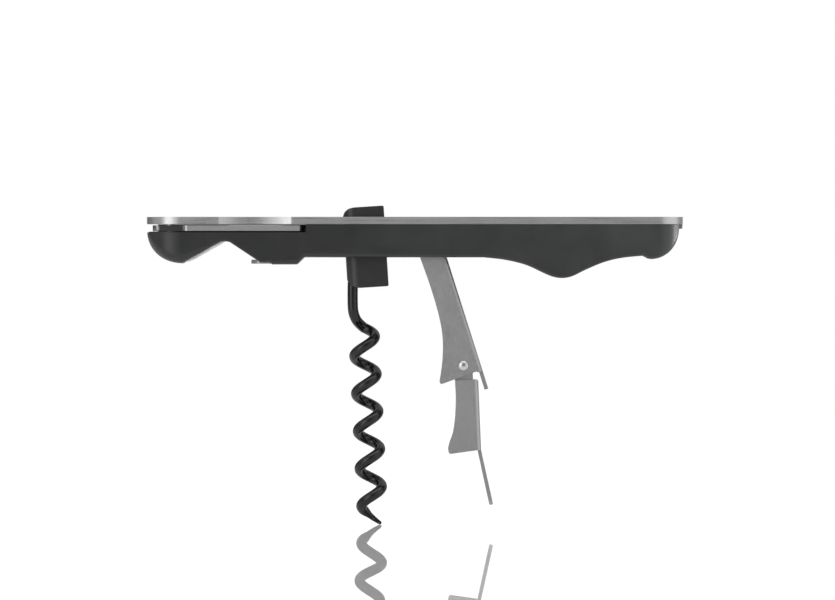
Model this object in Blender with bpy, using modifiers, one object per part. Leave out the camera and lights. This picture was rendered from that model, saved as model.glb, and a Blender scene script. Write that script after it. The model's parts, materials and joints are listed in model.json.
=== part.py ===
"""Lever corkscrew with a two-stage lever, a foil knife and a crown-cap lifter.

Frame: +X along the handle towards the lever's end, +Z up through the steel
spine, +Y across. The origin is on the spine's top face, straight above the
lever's pivot. Driving dimensions are in millimetres; the helpers turn them
into metres. Each moving group hangs on an empty that sits on its joint.
"""

import math

import bmesh
import bpy
from mathutils import Vector

MM = 0.001
OBJECT_NAME = "lever_corkscrew"
WELD = 0.000001
SMOOTH_DEG = 35

# --- Spine plate: flat steel along the whole top -------------------------
PLATE_LEFT = -73.95
PLATE_RIGHT = 67.5
PLATE_BOTTOM = -1.9
PLATE_HALF = 9.5
PLATE_LEFT_RADIUS = 9.0
PLATE_RIGHT_RADIUS = 6.5
SCALLOP_LEFT = -55.2
SCALLOP_RIGHT = -35.4
SCALLOP_DEPTH = 1.8
SLOT_LEFT = -25.0
SLOT_RIGHT = -2.3
SLOT_HALF = 5.4

# --- Handle body: moulded, open bay underneath ---------------------------
HANDLE_TOP = -2.1
HANDLE_HALF = 9.4
BLADE_SEAT = -4.05
BLADE_WALL = -31.9
FAR_WALL_LEFT = -71.2
FAR_WALL_Y = 5.9
TANG_LEDGE_TOP = -3.85
TANG_LEDGE_RADIUS = 5.6
LEFT_BULB = (-64.6, -3.96, 9.2, 8.24)
RIGHT_BULB = (59.1, -3.1, 7.3, 8.0)
NOTCH_FOOT = (-64.3, -12.2)
NOTCH_APEX = [(-54.6, -6.65), (-53.2, -6.45), (-51.9, -6.65)]
BUMP_LEFT = -43.88
BUMP_LEDGE = -12.0
BUMP_STEP = -40.9
BUMP_RIGHT = -34.2
BUMP_BOTTOM = -12.5
BELLY = -10.62
WAVE = [(15.0, BELLY), (20.6, -11.26), (26.1, -12.59), (30.9, -14.76), (33.2, -15.7), (35.6, -16.1)]
WAVE += [(38.2, -15.65), (42.0, -13.83), (46.7, -11.91), (51.5, -10.77), (57.0, -10.2)]
STEP_FOOT = (58.6, -11.0)
LIP_BOTTOM = -3.1
LIP_END = 67.45
BAY_LEFT = -25.6
BAY_RIGHT = 58.6
BAY_HALF = 7.4
TIP_POCKET_RIGHT = 60.8
TONGUE_SLOT_HALF = 3.6
TONGUE_SLOT_BOTTOM = -6.0

# --- Pivots, all along Y except the blade's ------------------------------
PIVOT_Z = -5.73
WORM_PIVOT_X = -16.1
PIN_RADIUS = 1.25
PIN_HOLE = 1.55
BLADE_PIVOT_X = -67.85

# --- Liners: two steel cheeks that carry the pins ------------------------
LINER_LEFT = -24.9
LINER_RIGHT = 6.4
LINER_TOP = -2.4
LINER_BOTTOM = -9.7
LINER_INNER = 6.7
LINER_OUTER = 7.7
POCKET_HALF = 8.0
POCKET_BOTTOM = -10.0
FIT = 0.3
SPRING_TOP = -2.35
SPRING_HALF = 3.2
SPRING_FOOT = -30.6
SPRING_WALL = -26.3
SPRING_THICKNESS = 0.4
SPRING_BOTTOM = -9.9

# --- Worm block and worm -------------------------------------------------
BLOCK_TILT = 3.64
BLOCK_LEFT = -5.65
BLOCK_RIGHT = 5.2
BLOCK_TOP = 8.43
BLOCK_BOTTOM = -12.85
BLOCK_HALF = 5.1
BLOCK_NOSE_RADIUS = 3.0
BLOCK_CROWN_RADIUS = 3.0
BUSHING_OUTER = 2.3
WORM_TILT = 2.66
WORM_OFFSET = -1.67
WIRE_RADIUS = 1.38
SHANK = [(-3.2, 0, -2.4), (-3.45, 0, -6.5), (-4.0, 0, -10.2), (-4.3, 0, -12.5), (-4.57, 0, -16.8)]
SHANK_BEND = [(-4.52, 0.1, -19.2), (-3.99, 0.75, -21.0), (-3.2, 1.95, -22.2)]
HELIX_RADIUS = 2.84
HELIX_START = 20.9
HELIX_PITCH = 9.9
HELIX_FIRST_TURN = 0.25
HELIX_STEPS = 14
POINT_FROM_TURN = 5.1
POINT_ACROSS = 2.15
POINT_DROP = 75.35
POINT_STEPS = 7
LOCK_PIN = (-0.35, -5.6)
LOCK_PIN_RADIUS = 0.8

# --- Lever, upper stage: u runs down from the pivot, v towards the worm ---
LEVER_TILT = 17.55
SHEET = 0.8
WEB_SHEET = 1.0
LEVER_HALF = 6.3
LEVER_WEB = -3.5
EAR_RADIUS = 3.4
WEB_START = 6.5
LEVER_EDGE = [(3.6, 3.25), (12.0, 2.95), (20.0, 3.1), (26.0, 3.9), (31.6, 5.7), (36.7, 8.1)]
LEVER_END = 37.3
TAB_END = 42.55
TAB_HALF = 4.2
KNEE = (34.8, 0.96)
KNEE_HOLE = 1.25

# --- Lever, lower stage: same u and v, measured from the knee -------------
LOWER_TILT = 2.44
LOWER_HALF = 6.1
LUG_HALF = 5.2
JOGGLE = 0.9
LOWER_WEB = -3.75
LUG_RADIUS = 2.4
SHOULDER = 3.76
LOWER_EDGE = [(2.4, 2.4), (8.0, 2.3), (13.2, 2.7), (17.4, 3.45), (20.2, 4.55)]
LOWER_CORNER = (23.1, 4.8)
LOWER_END = 22.3
TONGUE_END = 36.9
TONGUE_BEND = 10.0
TONGUE_HALF = 3.1

# --- Foil blade -----------------------------------------------------------
BLADE_TOP = -2.2
BLADE_BOTTOM = -3.75
TANG_RADIUS = 4.5
TANG_CORNER = 1.9
BLADE_BACK = -8.6
BLADE_CUTTING = [(-62.4, 1.6), (-56.0, 0.6), (-48.0, 0.8), (-40.5, -0.7), (-35.6, -4.2), (-33.5, -7.3)]
BLADE_HOLE = 2.7

# --- Crown-cap lifter -----------------------------------------------------
TOOTH_TOP = -11.25
TOOTH_BOTTOM = -12.3
TOOTH_TIP = -46.3
TOOTH_SHOULDER = -41.2
TOOTH_TAIL = -35.4
TOOTH_HALF = 7.4
TAIL_HALF = 4.4
REST_PATH = [(-63.6, -11.74), (-59.5, -9.42), (-55.4, -7.09), (-54.4, -6.7), (-53.5, -6.55)]
REST_HALF = 6.0
REST_SINK = 0.2
REST_PROUD = 0.6

# --- Fasteners ------------------------------------------------------------
SPINE_SCREWS = [(-28.7, -5.6), (-28.7, 5.6), (61.6, -6.1), (61.6, 6.1)]
SCREW_SHANK = 0.8
SCREW_HEAD = 1.6
SCREW_HEAD_TOP = -8.6
SCREW_HEAD_HEIGHT = 1.0
SCREW_HOLE = 1.05
SMALL_HOLE = 0.95
BLADE_SCREW_HOLE = 1.3
BLADE_HEAD_SEAT = (2.9, -8.2)
WAVE_WASHER_SEAT = (3.7, -4.85)
LIFTER_SCREWS = [(-38.3, -2.4), (-38.3, 2.4)]

ROUND_SIDES = 24
UNDERNEATH = -20.0


# --- Scene and materials ---------------------------------------------------
def clear_scene():
    for obj in list(bpy.data.objects):
        bpy.data.objects.remove(obj, do_unlink=True)


def new_collection(name):
    collection = bpy.data.collections.new(name)
    bpy.context.scene.collection.children.link(collection)
    return collection


def make_material(name, colour, roughness, metallic):
    material = bpy.data.materials.new(name)
    material.use_nodes = True
    shader = material.node_tree.nodes["Principled BSDF"]
    shader.inputs["Base Color"].default_value = (*colour, 1.0)
    shader.inputs["Roughness"].default_value = roughness
    shader.inputs["Metallic"].default_value = metallic
    return material


FINISHES = {
    "steel": ((0.36, 0.36, 0.36), 0.32, 1.0),
    "lever_steel": ((0.27, 0.27, 0.27), 0.45, 1.0),
    "bright_steel": ((0.6, 0.6, 0.6), 0.2, 1.0),
    "moulded_black": ((0.03, 0.032, 0.031), 0.5, 0.0),
    "block_black": ((0.035, 0.036, 0.036), 0.45, 0.0),
    "coated_black": ((0.03, 0.03, 0.032), 0.3, 0.2),
    "brass": ((0.6, 0.42, 0.18), 0.35, 1.0),
    "nylon": ((0.7, 0.69, 0.64), 0.5, 0.0),
}


class Builder:
    """Holds the two collections and gives every node its own material."""

    def __init__(self):
        self.parts = new_collection(OBJECT_NAME)
        self.cutters = new_collection("cutters")

    def keep(self, obj, finish, parent=None):
        """Files a finished part, with its material, under its joint's empty."""
        colour, roughness, metallic = FINISHES[finish]
        self.parts.objects.link(obj)
        obj.data.materials.clear()
        obj.data.materials.append(make_material(obj.name + "_" + finish, colour, roughness, metallic))
        obj.data.shade_smooth()
        obj.data.set_sharp_from_angle(angle=math.radians(SMOOTH_DEG))
        obj.parent = parent
        return obj

    def combine(self, target, cutter, operation="DIFFERENCE"):
        """Adds an exact Boolean; the cutter follows the target's parent."""
        self.cutters.objects.link(cutter)
        cutter.hide_render = True
        cutter.display_type = "WIRE"
        modifier = target.modifiers.new(cutter.name, "BOOLEAN")
        modifier.operation = operation
        modifier.object = cutter
        modifier.solver = "EXACT"

    def empty(self, name, location, tilt_deg=0.0, parent=None):
        """A joint's empty; the tilt turns its -Z towards +X."""
        obj = bpy.data.objects.new(name, None)
        self.parts.objects.link(obj)
        obj.location = Vector(location) * MM
        obj.rotation_euler = (0.0, -math.radians(tilt_deg), 0.0)
        obj.parent = parent
        return obj


# --- Points ------------------------------------------------------------------
def arc(centre_x, centre_y, radius_x, radius_y, start_deg, end_deg, steps):
    points = []
    for i in range(steps + 1):
        angle = math.radians(start_deg + (end_deg - start_deg) * i / steps)
        points.append((centre_x + radius_x * math.cos(angle), centre_y + radius_y * math.sin(angle)))
    return points


def smooth_through(points, steps):
    """A Catmull-Rom curve through the points, steps to a span."""
    ends = [points[0], *points, points[-1]]
    curve = []
    for i in range(len(points) - 1):
        before, start, end, after = (Vector(p) for p in ends[i : i + 4])
        for step in range(steps):
            t = step / steps
            blend = 2 * start + (end - before) * t
            blend += (2 * before - 5 * start + 4 * end - after) * t**2
            blend += (3 * start - before - 3 * end + after) * t**3
            curve.append(tuple(blend / 2))
    return [*curve, tuple(points[-1])]


def hanging(points):
    """Turns (u, v) down a lever into the joint empty's own x and z."""
    return [(-v, -u) for u, v in points]


# --- Solids -------------------------------------------------------------------
def weld_outward(obj):
    mesh = bmesh.new()
    mesh.from_mesh(obj.data)
    bmesh.ops.remove_doubles(mesh, verts=mesh.verts, dist=WELD)
    bmesh.ops.recalc_face_normals(mesh, faces=mesh.faces)
    mesh.to_mesh(obj.data)
    mesh.free()
    return obj


def mesh_from_curve(curve_object):
    """A mesh object in the curve's place, with its caps welded."""
    bpy.context.scene.collection.objects.link(curve_object)
    bpy.context.view_layer.update()
    graph = bpy.context.evaluated_depsgraph_get()
    mesh = bpy.data.meshes.new_from_object(curve_object.evaluated_get(graph))
    name = curve_object.name
    place = curve_object.matrix_world.copy()
    bpy.data.objects.remove(curve_object, do_unlink=True)
    obj = bpy.data.objects.new(name, mesh)
    obj.matrix_world = place
    return weld_outward(obj)


def outline_solid(name, outlines, low, high, upright=True):
    """Closed outlines, the first one the outer, extruded from low to high.

    An upright solid has its outline in X and Z and is extruded along Y;
    otherwise the outline is in X and Y and the solid is extruded along Z.
    """
    curve = bpy.data.curves.new(name, "CURVE")
    curve.dimensions = "2D"
    curve.fill_mode = "BOTH"
    curve.extrude = (high - low) / 2 * MM
    for points in outlines:
        spline = curve.splines.new("POLY")
        spline.points.add(len(points) - 1)
        for point, (a, b) in zip(spline.points, points):
            point.co = (a * MM, b * MM, 0.0, 1.0)
        spline.use_cyclic_u = True
    obj = bpy.data.objects.new(name, curve)
    middle = (low + high) / 2 * MM
    if upright:
        obj.location = (0.0, middle, 0.0)
        obj.rotation_euler = (math.radians(90), 0.0, 0.0)
    else:
        obj.location = (0.0, 0.0, middle)
    return mesh_from_curve(obj)


def block(name, x, y, z):
    """A box between the given (low, high) pairs, with unit scale."""
    mesh = bpy.data.meshes.new(name)
    cube = bmesh.new()
    bmesh.ops.create_cube(cube, size=1.0)
    size = Vector((x[1] - x[0], y[1] - y[0], z[1] - z[0])) * MM
    bmesh.ops.scale(cube, vec=size, verts=cube.verts)
    cube.to_mesh(mesh)
    cube.free()
    obj = bpy.data.objects.new(name, mesh)
    obj.location = Vector((x[0] + x[1], y[0] + y[1], z[0] + z[1])) * MM / 2
    return obj


def rod(name, radius, low, high, at, along="Y", sides=ROUND_SIDES):
    """A round bar from low to high along Y or Z, through the point at."""
    mesh = bpy.data.meshes.new(name)
    bar = bmesh.new()
    length = (high - low) * MM
    bmesh.ops.create_cone(
        bar, cap_ends=True, segments=sides, radius1=radius * MM, radius2=radius * MM, depth=length
    )
    bar.to_mesh(mesh)
    bar.free()
    obj = bpy.data.objects.new(name, mesh)
    middle = (low + high) / 2
    if along == "Y":
        obj.rotation_euler = (math.radians(90), 0.0, 0.0)
        obj.location = Vector((at[0], middle, at[1])) * MM
    else:
        obj.location = Vector((at[0], at[1], middle)) * MM
    return obj


def turned(name, profile, closed=False, sides=ROUND_SIDES):
    """Turns a profile of (radius, height) about Z, outer side top to bottom."""
    mesh = bpy.data.meshes.new(name)
    count = len(profile)
    edges = [(i, i + 1) for i in range(count - 1)]
    if closed:
        edges.append((count - 1, 0))
    mesh.from_pydata([(r * MM, 0.0, h * MM) for r, h in profile], edges, [])
    obj = bpy.data.objects.new(name, mesh)
    screw = obj.modifiers.new("turn", "SCREW")
    screw.steps = sides
    screw.render_steps = sides
    screw.use_merge_vertices = True
    screw.merge_threshold = WELD
    return obj


def ring(name, inner, outer, top, bottom):
    return turned(name, [(outer, top), (outer, bottom), (inner, bottom), (inner, top)], closed=True)


def place(obj, x, y, z, turn_x_deg=0.0, turn_y_deg=0.0):
    obj.location = Vector((x, y, z)) * MM
    obj.rotation_euler = (math.radians(turn_x_deg), math.radians(turn_y_deg), 0.0)
    return obj


# --- Spine ----------------------------------------------------------------------
def plan_outline(left, right, half, scallop):
    """The top view that the plate and the handle share."""
    corner = PLATE_RIGHT_RADIUS
    nose = PLATE_LEFT_RADIUS
    points = arc(right - corner, half - corner, corner, corner, 0, 90, 6)
    points += arc(left + nose, half - nose, nose, nose, 90, 180, 8)
    points += arc(left + nose, nose - half, nose, nose, 180, 270, 8)
    if scallop:
        chord = SCALLOP_RIGHT - SCALLOP_LEFT
        radius = (chord**2 / 4 + SCALLOP_DEPTH**2) / (2 * SCALLOP_DEPTH)
        middle = (SCALLOP_LEFT + SCALLOP_RIGHT) / 2
        swing = math.degrees(math.asin(chord / 2 / radius))
        low = -half + SCALLOP_DEPTH - radius
        points += arc(middle, low, radius, radius, 90 + swing, 90 - swing, 10)
    points += arc(right - corner, corner - half, corner, corner, 270, 360, 6)
    return points


def rounded_box(left, right, low, high, radius, steps=3):
    points = arc(right - radius, high - radius, radius, radius, 0, 90, steps)
    points += arc(left + radius, high - radius, radius, radius, 90, 180, steps)
    points += arc(left + radius, low + radius, radius, radius, 180, 270, steps)
    points += arc(right - radius, low + radius, radius, radius, 270, 360, steps)
    return points


def add_spine(build):
    outer = plan_outline(PLATE_LEFT, PLATE_RIGHT, PLATE_HALF, scallop=True)
    slot = rounded_box(SLOT_LEFT, SLOT_RIGHT, -SLOT_HALF, SLOT_HALF, 1.0)
    plate = outline_solid("spine_plate", [outer, slot], PLATE_BOTTOM, 0.0, upright=False)
    blind = -0.5
    for i, spot in enumerate(SPINE_SCREWS, 1):
        build.combine(plate, rod(f"plate_thread_{i}", SCREW_HOLE, PLATE_BOTTOM - 1, blind, spot, "Z", 12))
    blade_spot = (BLADE_PIVOT_X, 0.0)
    thread = rod("plate_thread_blade", BLADE_SCREW_HOLE, PLATE_BOTTOM - 1, blind, blade_spot, "Z", 12)
    build.combine(plate, thread)
    build.keep(plate, "steel")


# --- Handle -----------------------------------------------------------------------
def handle_side_outline():
    left_x, left_z, left_a, left_b = LEFT_BULB
    right_x, right_z, right_a, right_b = RIGHT_BULB
    points = arc(left_x, left_z, left_a, left_b, 180, 270, 8)
    points += [NOTCH_FOOT, *NOTCH_APEX]
    points += [(BUMP_LEFT, BUMP_LEDGE), (BUMP_STEP, BUMP_LEDGE), (BUMP_STEP, BUMP_BOTTOM)]
    points += [(BUMP_RIGHT, BUMP_BOTTOM)]
    points += [(BUMP_RIGHT + BELLY - BUMP_BOTTOM, BELLY)]
    points += smooth_through(WAVE, 3)
    points += [STEP_FOOT]
    points += arc(right_x, right_z, right_a, right_b, 275, 360, 7)
    points += [(LIP_END, LIP_BOTTOM), (LIP_END, HANDLE_TOP)]
    points += [(FAR_WALL_LEFT, HANDLE_TOP), (FAR_WALL_LEFT, BLADE_SEAT)]
    return points


def cut_bay(build, handle):
    below = UNDERNEATH
    above = -1.0
    build.combine(handle, block("bay", (BAY_LEFT, BAY_RIGHT), (-BAY_HALF, BAY_HALF), (below, above)))
    half = TONGUE_SLOT_HALF
    build.combine(handle, block("tip_pocket", (BAY_RIGHT - 1, TIP_POCKET_RIGHT), (-half, half), (below, above)))
    end = LIP_END + 2
    level = (TONGUE_SLOT_BOTTOM, above)
    build.combine(handle, block("tongue_slot", (TIP_POCKET_RIGHT - 1, end), (-half, half), level))
    pocket_x = (LINER_LEFT - FIT, LINER_RIGHT + FIT)
    pocket_y = (-POCKET_HALF, POCKET_HALF)
    build.combine(handle, block("liner_pocket", pocket_x, pocket_y, (POCKET_BOTTOM, above)))


def cut_spring_pocket(build, handle):
    half = SPRING_HALF + FIT
    foot = (SPRING_FOOT - FIT, BAY_LEFT + 1)
    build.combine(handle, block("spring_foot_pocket", foot, (-half, half), (SPRING_TOP - 0.8, -1.0)))
    wall = (SPRING_WALL - 0.6, BAY_LEFT + 1)
    build.combine(handle, block("spring_wall_pocket", wall, (-half, half), (UNDERNEATH, -1.0)))


def cut_lifter_seats(build, handle):
    low = -14.0
    top = TOOTH_TOP + FIT
    wide = TOOTH_HALF + FIT
    build.combine(handle, block("tooth_seat", (-48.0, TOOTH_SHOULDER + FIT), (-wide, wide), (low, top)))
    tail = TAIL_HALF + FIT
    build.combine(handle, block("tail_seat", (-42.0, TOOTH_TAIL + FIT), (-tail, tail), (low, top)))
    for i, spot in enumerate(LIFTER_SCREWS, 1):
        build.combine(handle, rod(f"lifter_thread_{i}", SMALL_HOLE, -13.0, -7.6, spot, "Z", 12))
    recess = strip_outline(REST_PATH, REST_SINK + FIT, 3.0)
    half = REST_HALF + FIT
    build.combine(handle, outline_solid("cap_rest_seat", [recess], -half, half))
    profile = [(0, 3.3), (SMALL_HOLE, 3.3), (SMALL_HOLE, -3.0), (0, -3.0)]
    build.combine(handle, place(turned("cap_rest_hole", profile, sides=12), *rest_rivet_place()))


def cut_screw_holes(build, handle):
    head_top = SCREW_HEAD_TOP + FIT
    for i, spot in enumerate(SPINE_SCREWS, 1):
        build.combine(handle, rod(f"spine_bore_{i}", SCREW_HOLE, UNDERNEATH, 0.0, spot, "Z", 12))
        seat = rod(f"spine_counterbore_{i}", SCREW_HEAD + FIT, UNDERNEATH, head_top, spot, "Z", 20)
        build.combine(handle, seat)
    spot = (BLADE_PIVOT_X, 0.0)
    build.combine(handle, rod("blade_bore", BLADE_SCREW_HOLE, UNDERNEATH, 0.0, spot, "Z", 16))
    radius, top = BLADE_HEAD_SEAT
    build.combine(handle, rod("blade_counterbore", radius, UNDERNEATH, top, spot, "Z", 24))
    radius, floor = WAVE_WASHER_SEAT
    build.combine(handle, rod("wave_washer_pocket", radius, floor, -2.0, spot, "Z", 24))


def add_handle(build):
    half = HANDLE_HALF
    handle = outline_solid("handle_body", [handle_side_outline()], -half, half)
    plan = plan_outline(LEFT_BULB[0] - LEFT_BULB[2], LIP_END, half, scallop=False)
    build.combine(handle, outline_solid("handle_plan", [plan], UNDERNEATH, 0.0, upright=False), "INTERSECT")
    bay_x = (FAR_WALL_LEFT - 1, BLADE_WALL)
    build.combine(handle, block("blade_bay", bay_x, (-12.0, FAR_WALL_Y), (BLADE_SEAT, 0.0)))
    spot = (BLADE_PIVOT_X, 0.0)
    ledge = rod("tang_ledge", TANG_LEDGE_RADIUS, BLADE_SEAT - 1, TANG_LEDGE_TOP, spot, "Z", 36)
    build.combine(handle, ledge, "UNION")
    cut_bay(build, handle)
    cut_spring_pocket(build, handle)
    cut_lifter_seats(build, handle)
    cut_screw_holes(build, handle)
    build.keep(handle, "moulded_black")


# --- Fixed steel inside the handle ---------------------------------------------------
def add_liners(build):
    outline = rounded_box(LINER_LEFT, LINER_RIGHT, LINER_BOTTOM, LINER_TOP, 1.2)
    for name, side in (("liner_front", -1), ("liner_rear", 1)):
        holes = []
        for x in (WORM_PIVOT_X, 0.0):
            holes.append(arc(x, PIVOT_Z, PIN_HOLE, PIN_HOLE, 0, 345, 23))
        low, high = sorted((side * LINER_INNER, side * LINER_OUTER))
        build.keep(outline_solid(name, [outline, *holes], low, high), "steel")


def add_pins(build):
    end = LINER_OUTER - 0.05
    build.keep(rod("worm_pivot_pin", PIN_RADIUS, -end, end, (WORM_PIVOT_X, PIVOT_Z)), "bright_steel")
    build.keep(rod("lever_pivot_pin", PIN_RADIUS, -end, end, (0.0, PIVOT_Z)), "bright_steel")
    for name, side in (("worm_washer_front", -1), ("worm_washer_rear", 1)):
        washer = ring(name, PIN_HOLE, 2.8, 0.5, -0.5)
        build.keep(place(washer, WORM_PIVOT_X, side * 5.9, PIVOT_Z, 90), "nylon")


def add_block_spring(build):
    """A bent leaf: its foot is clamped under the spine, its face meets the block."""
    outer = [(SPRING_FOOT, SPRING_TOP), (SPRING_WALL, SPRING_TOP)]
    outer += arc(SPRING_WALL - 0.3, SPRING_TOP - 0.7, 0.7, 0.7, 90, 0, 4)[1:]
    outer += smooth_through([(-25.9, -3.05), (-25.55, -5.7), (-25.9, -8.4), (-26.3, SPRING_BOTTOM)], 3)[1:]
    inner = [(x - SPRING_THICKNESS, z) for x, z in reversed(outer[2:])]
    inner += [(SPRING_WALL - 0.5, SPRING_TOP - SPRING_THICKNESS), (SPRING_FOOT, SPRING_TOP - SPRING_THICKNESS)]
    build.keep(outline_solid("block_spring", [outer + inner], -SPRING_HALF, SPRING_HALF), "steel")


# --- Crown-cap lifter ----------------------------------------------------------------
def strip_outline(path, inward, outward):
    """A band along a path: inward is the path's left side, outward its right."""
    sides = {inward: [], -outward: []}
    for i, point in enumerate(path):
        before = Vector(path[max(i - 1, 0)])
        after = Vector(path[min(i + 1, len(path) - 1)])
        run = (after - before).normalized()
        normal = Vector((-run.y, run.x))
        for offset, points in sides.items():
            points.append(tuple(Vector(point) + normal * offset))
    return sides[inward] + list(reversed(sides[-outward]))


def rest_rivet_place():
    """Middle of the rest's straight run, and the turn that stands a pin on it."""
    start, end = Vector(REST_PATH[0]), Vector(REST_PATH[2])
    middle = (start + end) / 2
    slope = math.degrees(math.atan2(end.y - start.y, end.x - start.x))
    return middle.x, 0.0, middle.y, 0.0, -slope


def add_cap_lifter(build):
    band = strip_outline(REST_PATH, REST_SINK, REST_PROUD)
    rest = outline_solid("cap_rest_liner", [band], -REST_HALF, REST_HALF)
    profile = [(0, 2), (SMALL_HOLE, 2), (SMALL_HOLE, -2), (0, -2)]
    build.combine(rest, place(turned("rest_liner_hole", profile, sides=12), *rest_rivet_place()))
    build.keep(rest, "bright_steel")
    profile = [(0, 3.0), (0.65, 3.0), (0.65, -0.5), (0.45, -0.62), (0, -0.65)]
    rivet = place(turned("cap_rest_rivet", profile, sides=16), *rest_rivet_place())
    build.keep(rivet, "bright_steel")

    outline = [(TOOTH_TIP, -3.2), (TOOTH_TIP, 3.2), (TOOTH_TIP + 1.6, TOOTH_HALF), (TOOTH_SHOULDER, TOOTH_HALF)]
    outline += [(TOOTH_SHOULDER, TAIL_HALF), (TOOTH_TAIL, TAIL_HALF), (TOOTH_TAIL, -TAIL_HALF)]
    outline += [(TOOTH_SHOULDER, -TAIL_HALF), (TOOTH_SHOULDER, -TOOTH_HALF), (TOOTH_TIP + 1.6, -TOOTH_HALF)]
    holes = []
    for spot in LIFTER_SCREWS:
        holes.append(arc(*spot, SMALL_HOLE, SMALL_HOLE, 0, 330, 11))
    tooth = outline_solid("cap_lifter_tooth", [outline, *holes], TOOTH_BOTTOM, TOOTH_TOP, upright=False)
    build.keep(tooth, "steel")
    profile = [(0, 4.2), (0.65, 4.2), (0.65, -0.04), (1.35, -0.04), (1.25, -0.18), (0, -0.2)]
    for i, (x, y) in enumerate(LIFTER_SCREWS, 1):
        screw = place(turned(f"lifter_screw_{i}", profile, sides=16), x, y, TOOTH_BOTTOM)
        build.keep(screw, "bright_steel")


# --- Screws and the blade's seat ---------------------------------------------------------
def add_spine_screws(build):
    head = SCREW_HEAD_HEIGHT
    tip = -0.8 - SCREW_HEAD_TOP
    profile = [(0, tip), (SCREW_SHANK, tip - 0.3), (SCREW_SHANK, 0), (SCREW_HEAD, 0)]
    profile += [(SCREW_HEAD, -head + 0.3), (SCREW_HEAD - 0.4, -head), (0, -head)]
    for i, (x, y) in enumerate(SPINE_SCREWS, 1):
        screw = place(turned(f"spine_screw_{i}", profile, sides=16), x, y, SCREW_HEAD_TOP)
        build.keep(screw, "bright_steel")


def add_blade_seat(build):
    """The fixed pieces on the blade's vertical pivot."""
    profile = [(0, 8.4), (1.0, 8.1), (1.0, 0), (2.3, 0), (2.3, -0.9), (1.9, -1.3), (0, -1.3)]
    build.keep(place(turned("blade_pivot_screw", profile), BLADE_PIVOT_X, 0, -9.2), "bright_steel")
    build.keep(place(ring("blade_washer", 1.3, 2.6, 0.25, -0.25), BLADE_PIVOT_X, 0, -8.7), "steel")
    build.keep(place(ring("blade_bushing", 1.3, 2.4, 0.7, -0.7), BLADE_PIVOT_X, 0, -2.95), "brass")
    build.keep(place(ring("blade_wave_washer", 1.4, 3.4, 0.25, -0.25), BLADE_PIVOT_X, 0, -4.3), "steel")


# --- Foil blade ------------------------------------------------------------------------------
def add_blade(build):
    pivot = build.empty("blade_axis", (BLADE_PIVOT_X, 0.0, 0.0))
    tang = arc(BLADE_PIVOT_X, 0.0, TANG_RADIUS, TANG_RADIUS, 50, 180, 8)
    corner = TANG_CORNER
    left = BLADE_PIVOT_X - TANG_RADIUS + corner
    tang += arc(left, corner - TANG_RADIUS, corner, corner, 180, 270, 4)
    cutting = smooth_through(BLADE_CUTTING, 3)
    back = [(-33.05, -8.1), (-33.6, BLADE_BACK), (-63.2, BLADE_BACK), (-64.1, -7.7), (-64.1, -TANG_RADIUS)]
    outline = [(x - BLADE_PIVOT_X, y) for x, y in tang + back[::-1] + cutting[::-1]]
    hole = arc(0.0, 0.0, BLADE_HOLE, BLADE_HOLE, 0, 345, 23)
    blade = outline_solid("foil_blade", [outline, hole], BLADE_BOTTOM, BLADE_TOP, upright=False)
    build.keep(blade, "steel", pivot)


# --- Worm group -------------------------------------------------------------------------------
def worm_axis_point(distance):
    """A point on the worm's axis, in the block's frame, below the pivot."""
    lean = math.radians(WORM_TILT - BLOCK_TILT)
    return Vector((WORM_OFFSET + distance * math.sin(lean), 0.0, -distance * math.cos(lean)))


def helix_point(turn):
    angle = 2 * math.pi * turn
    side = Vector((-math.cos(angle), math.sin(angle), 0.0)) * HELIX_RADIUS
    return worm_axis_point(HELIX_START + turn * HELIX_PITCH) + side


def worm_centreline():
    """(point, wire radius) pairs from inside the block to the sharp tip."""
    count = round((POINT_FROM_TURN - HELIX_FIRST_TURN) * HELIX_STEPS)
    coil = [helix_point(HELIX_FIRST_TURN + i / HELIX_STEPS) for i in range(count + 1)]
    lead = smooth_through([*SHANK, *SHANK_BEND, tuple(coil[0])], 2)[:-1]
    pairs = [(Vector(point), 1.0) for point in lead] + [(point, 1.0) for point in coil]
    # The ground point runs straight down to the tip, seen from the side.
    end = worm_axis_point(POINT_DROP) + Vector((POINT_ACROSS, 0.0, 0.0))
    for i in range(1, POINT_STEPS + 1):
        share = i / POINT_STEPS
        point = coil[-1].lerp(end, share)
        point.y = HELIX_RADIUS * math.sin(math.radians(36 + 130 * share))
        thickness = 1.0 - 0.8 * share if i < POINT_STEPS else 0.17
        pairs.append((point, thickness))
    return pairs


def tube(name, pairs, radius):
    curve = bpy.data.curves.new(name, "CURVE")
    curve.dimensions = "3D"
    curve.bevel_depth = radius * MM
    curve.bevel_resolution = 2
    curve.use_fill_caps = True
    spline = curve.splines.new("POLY")
    spline.points.add(len(pairs) - 1)
    for point, (place_mm, share) in zip(spline.points, pairs):
        point.co = (*(place_mm * MM), 1.0)
        point.radius = share
    return mesh_from_curve(bpy.data.objects.new(name, curve))


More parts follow.
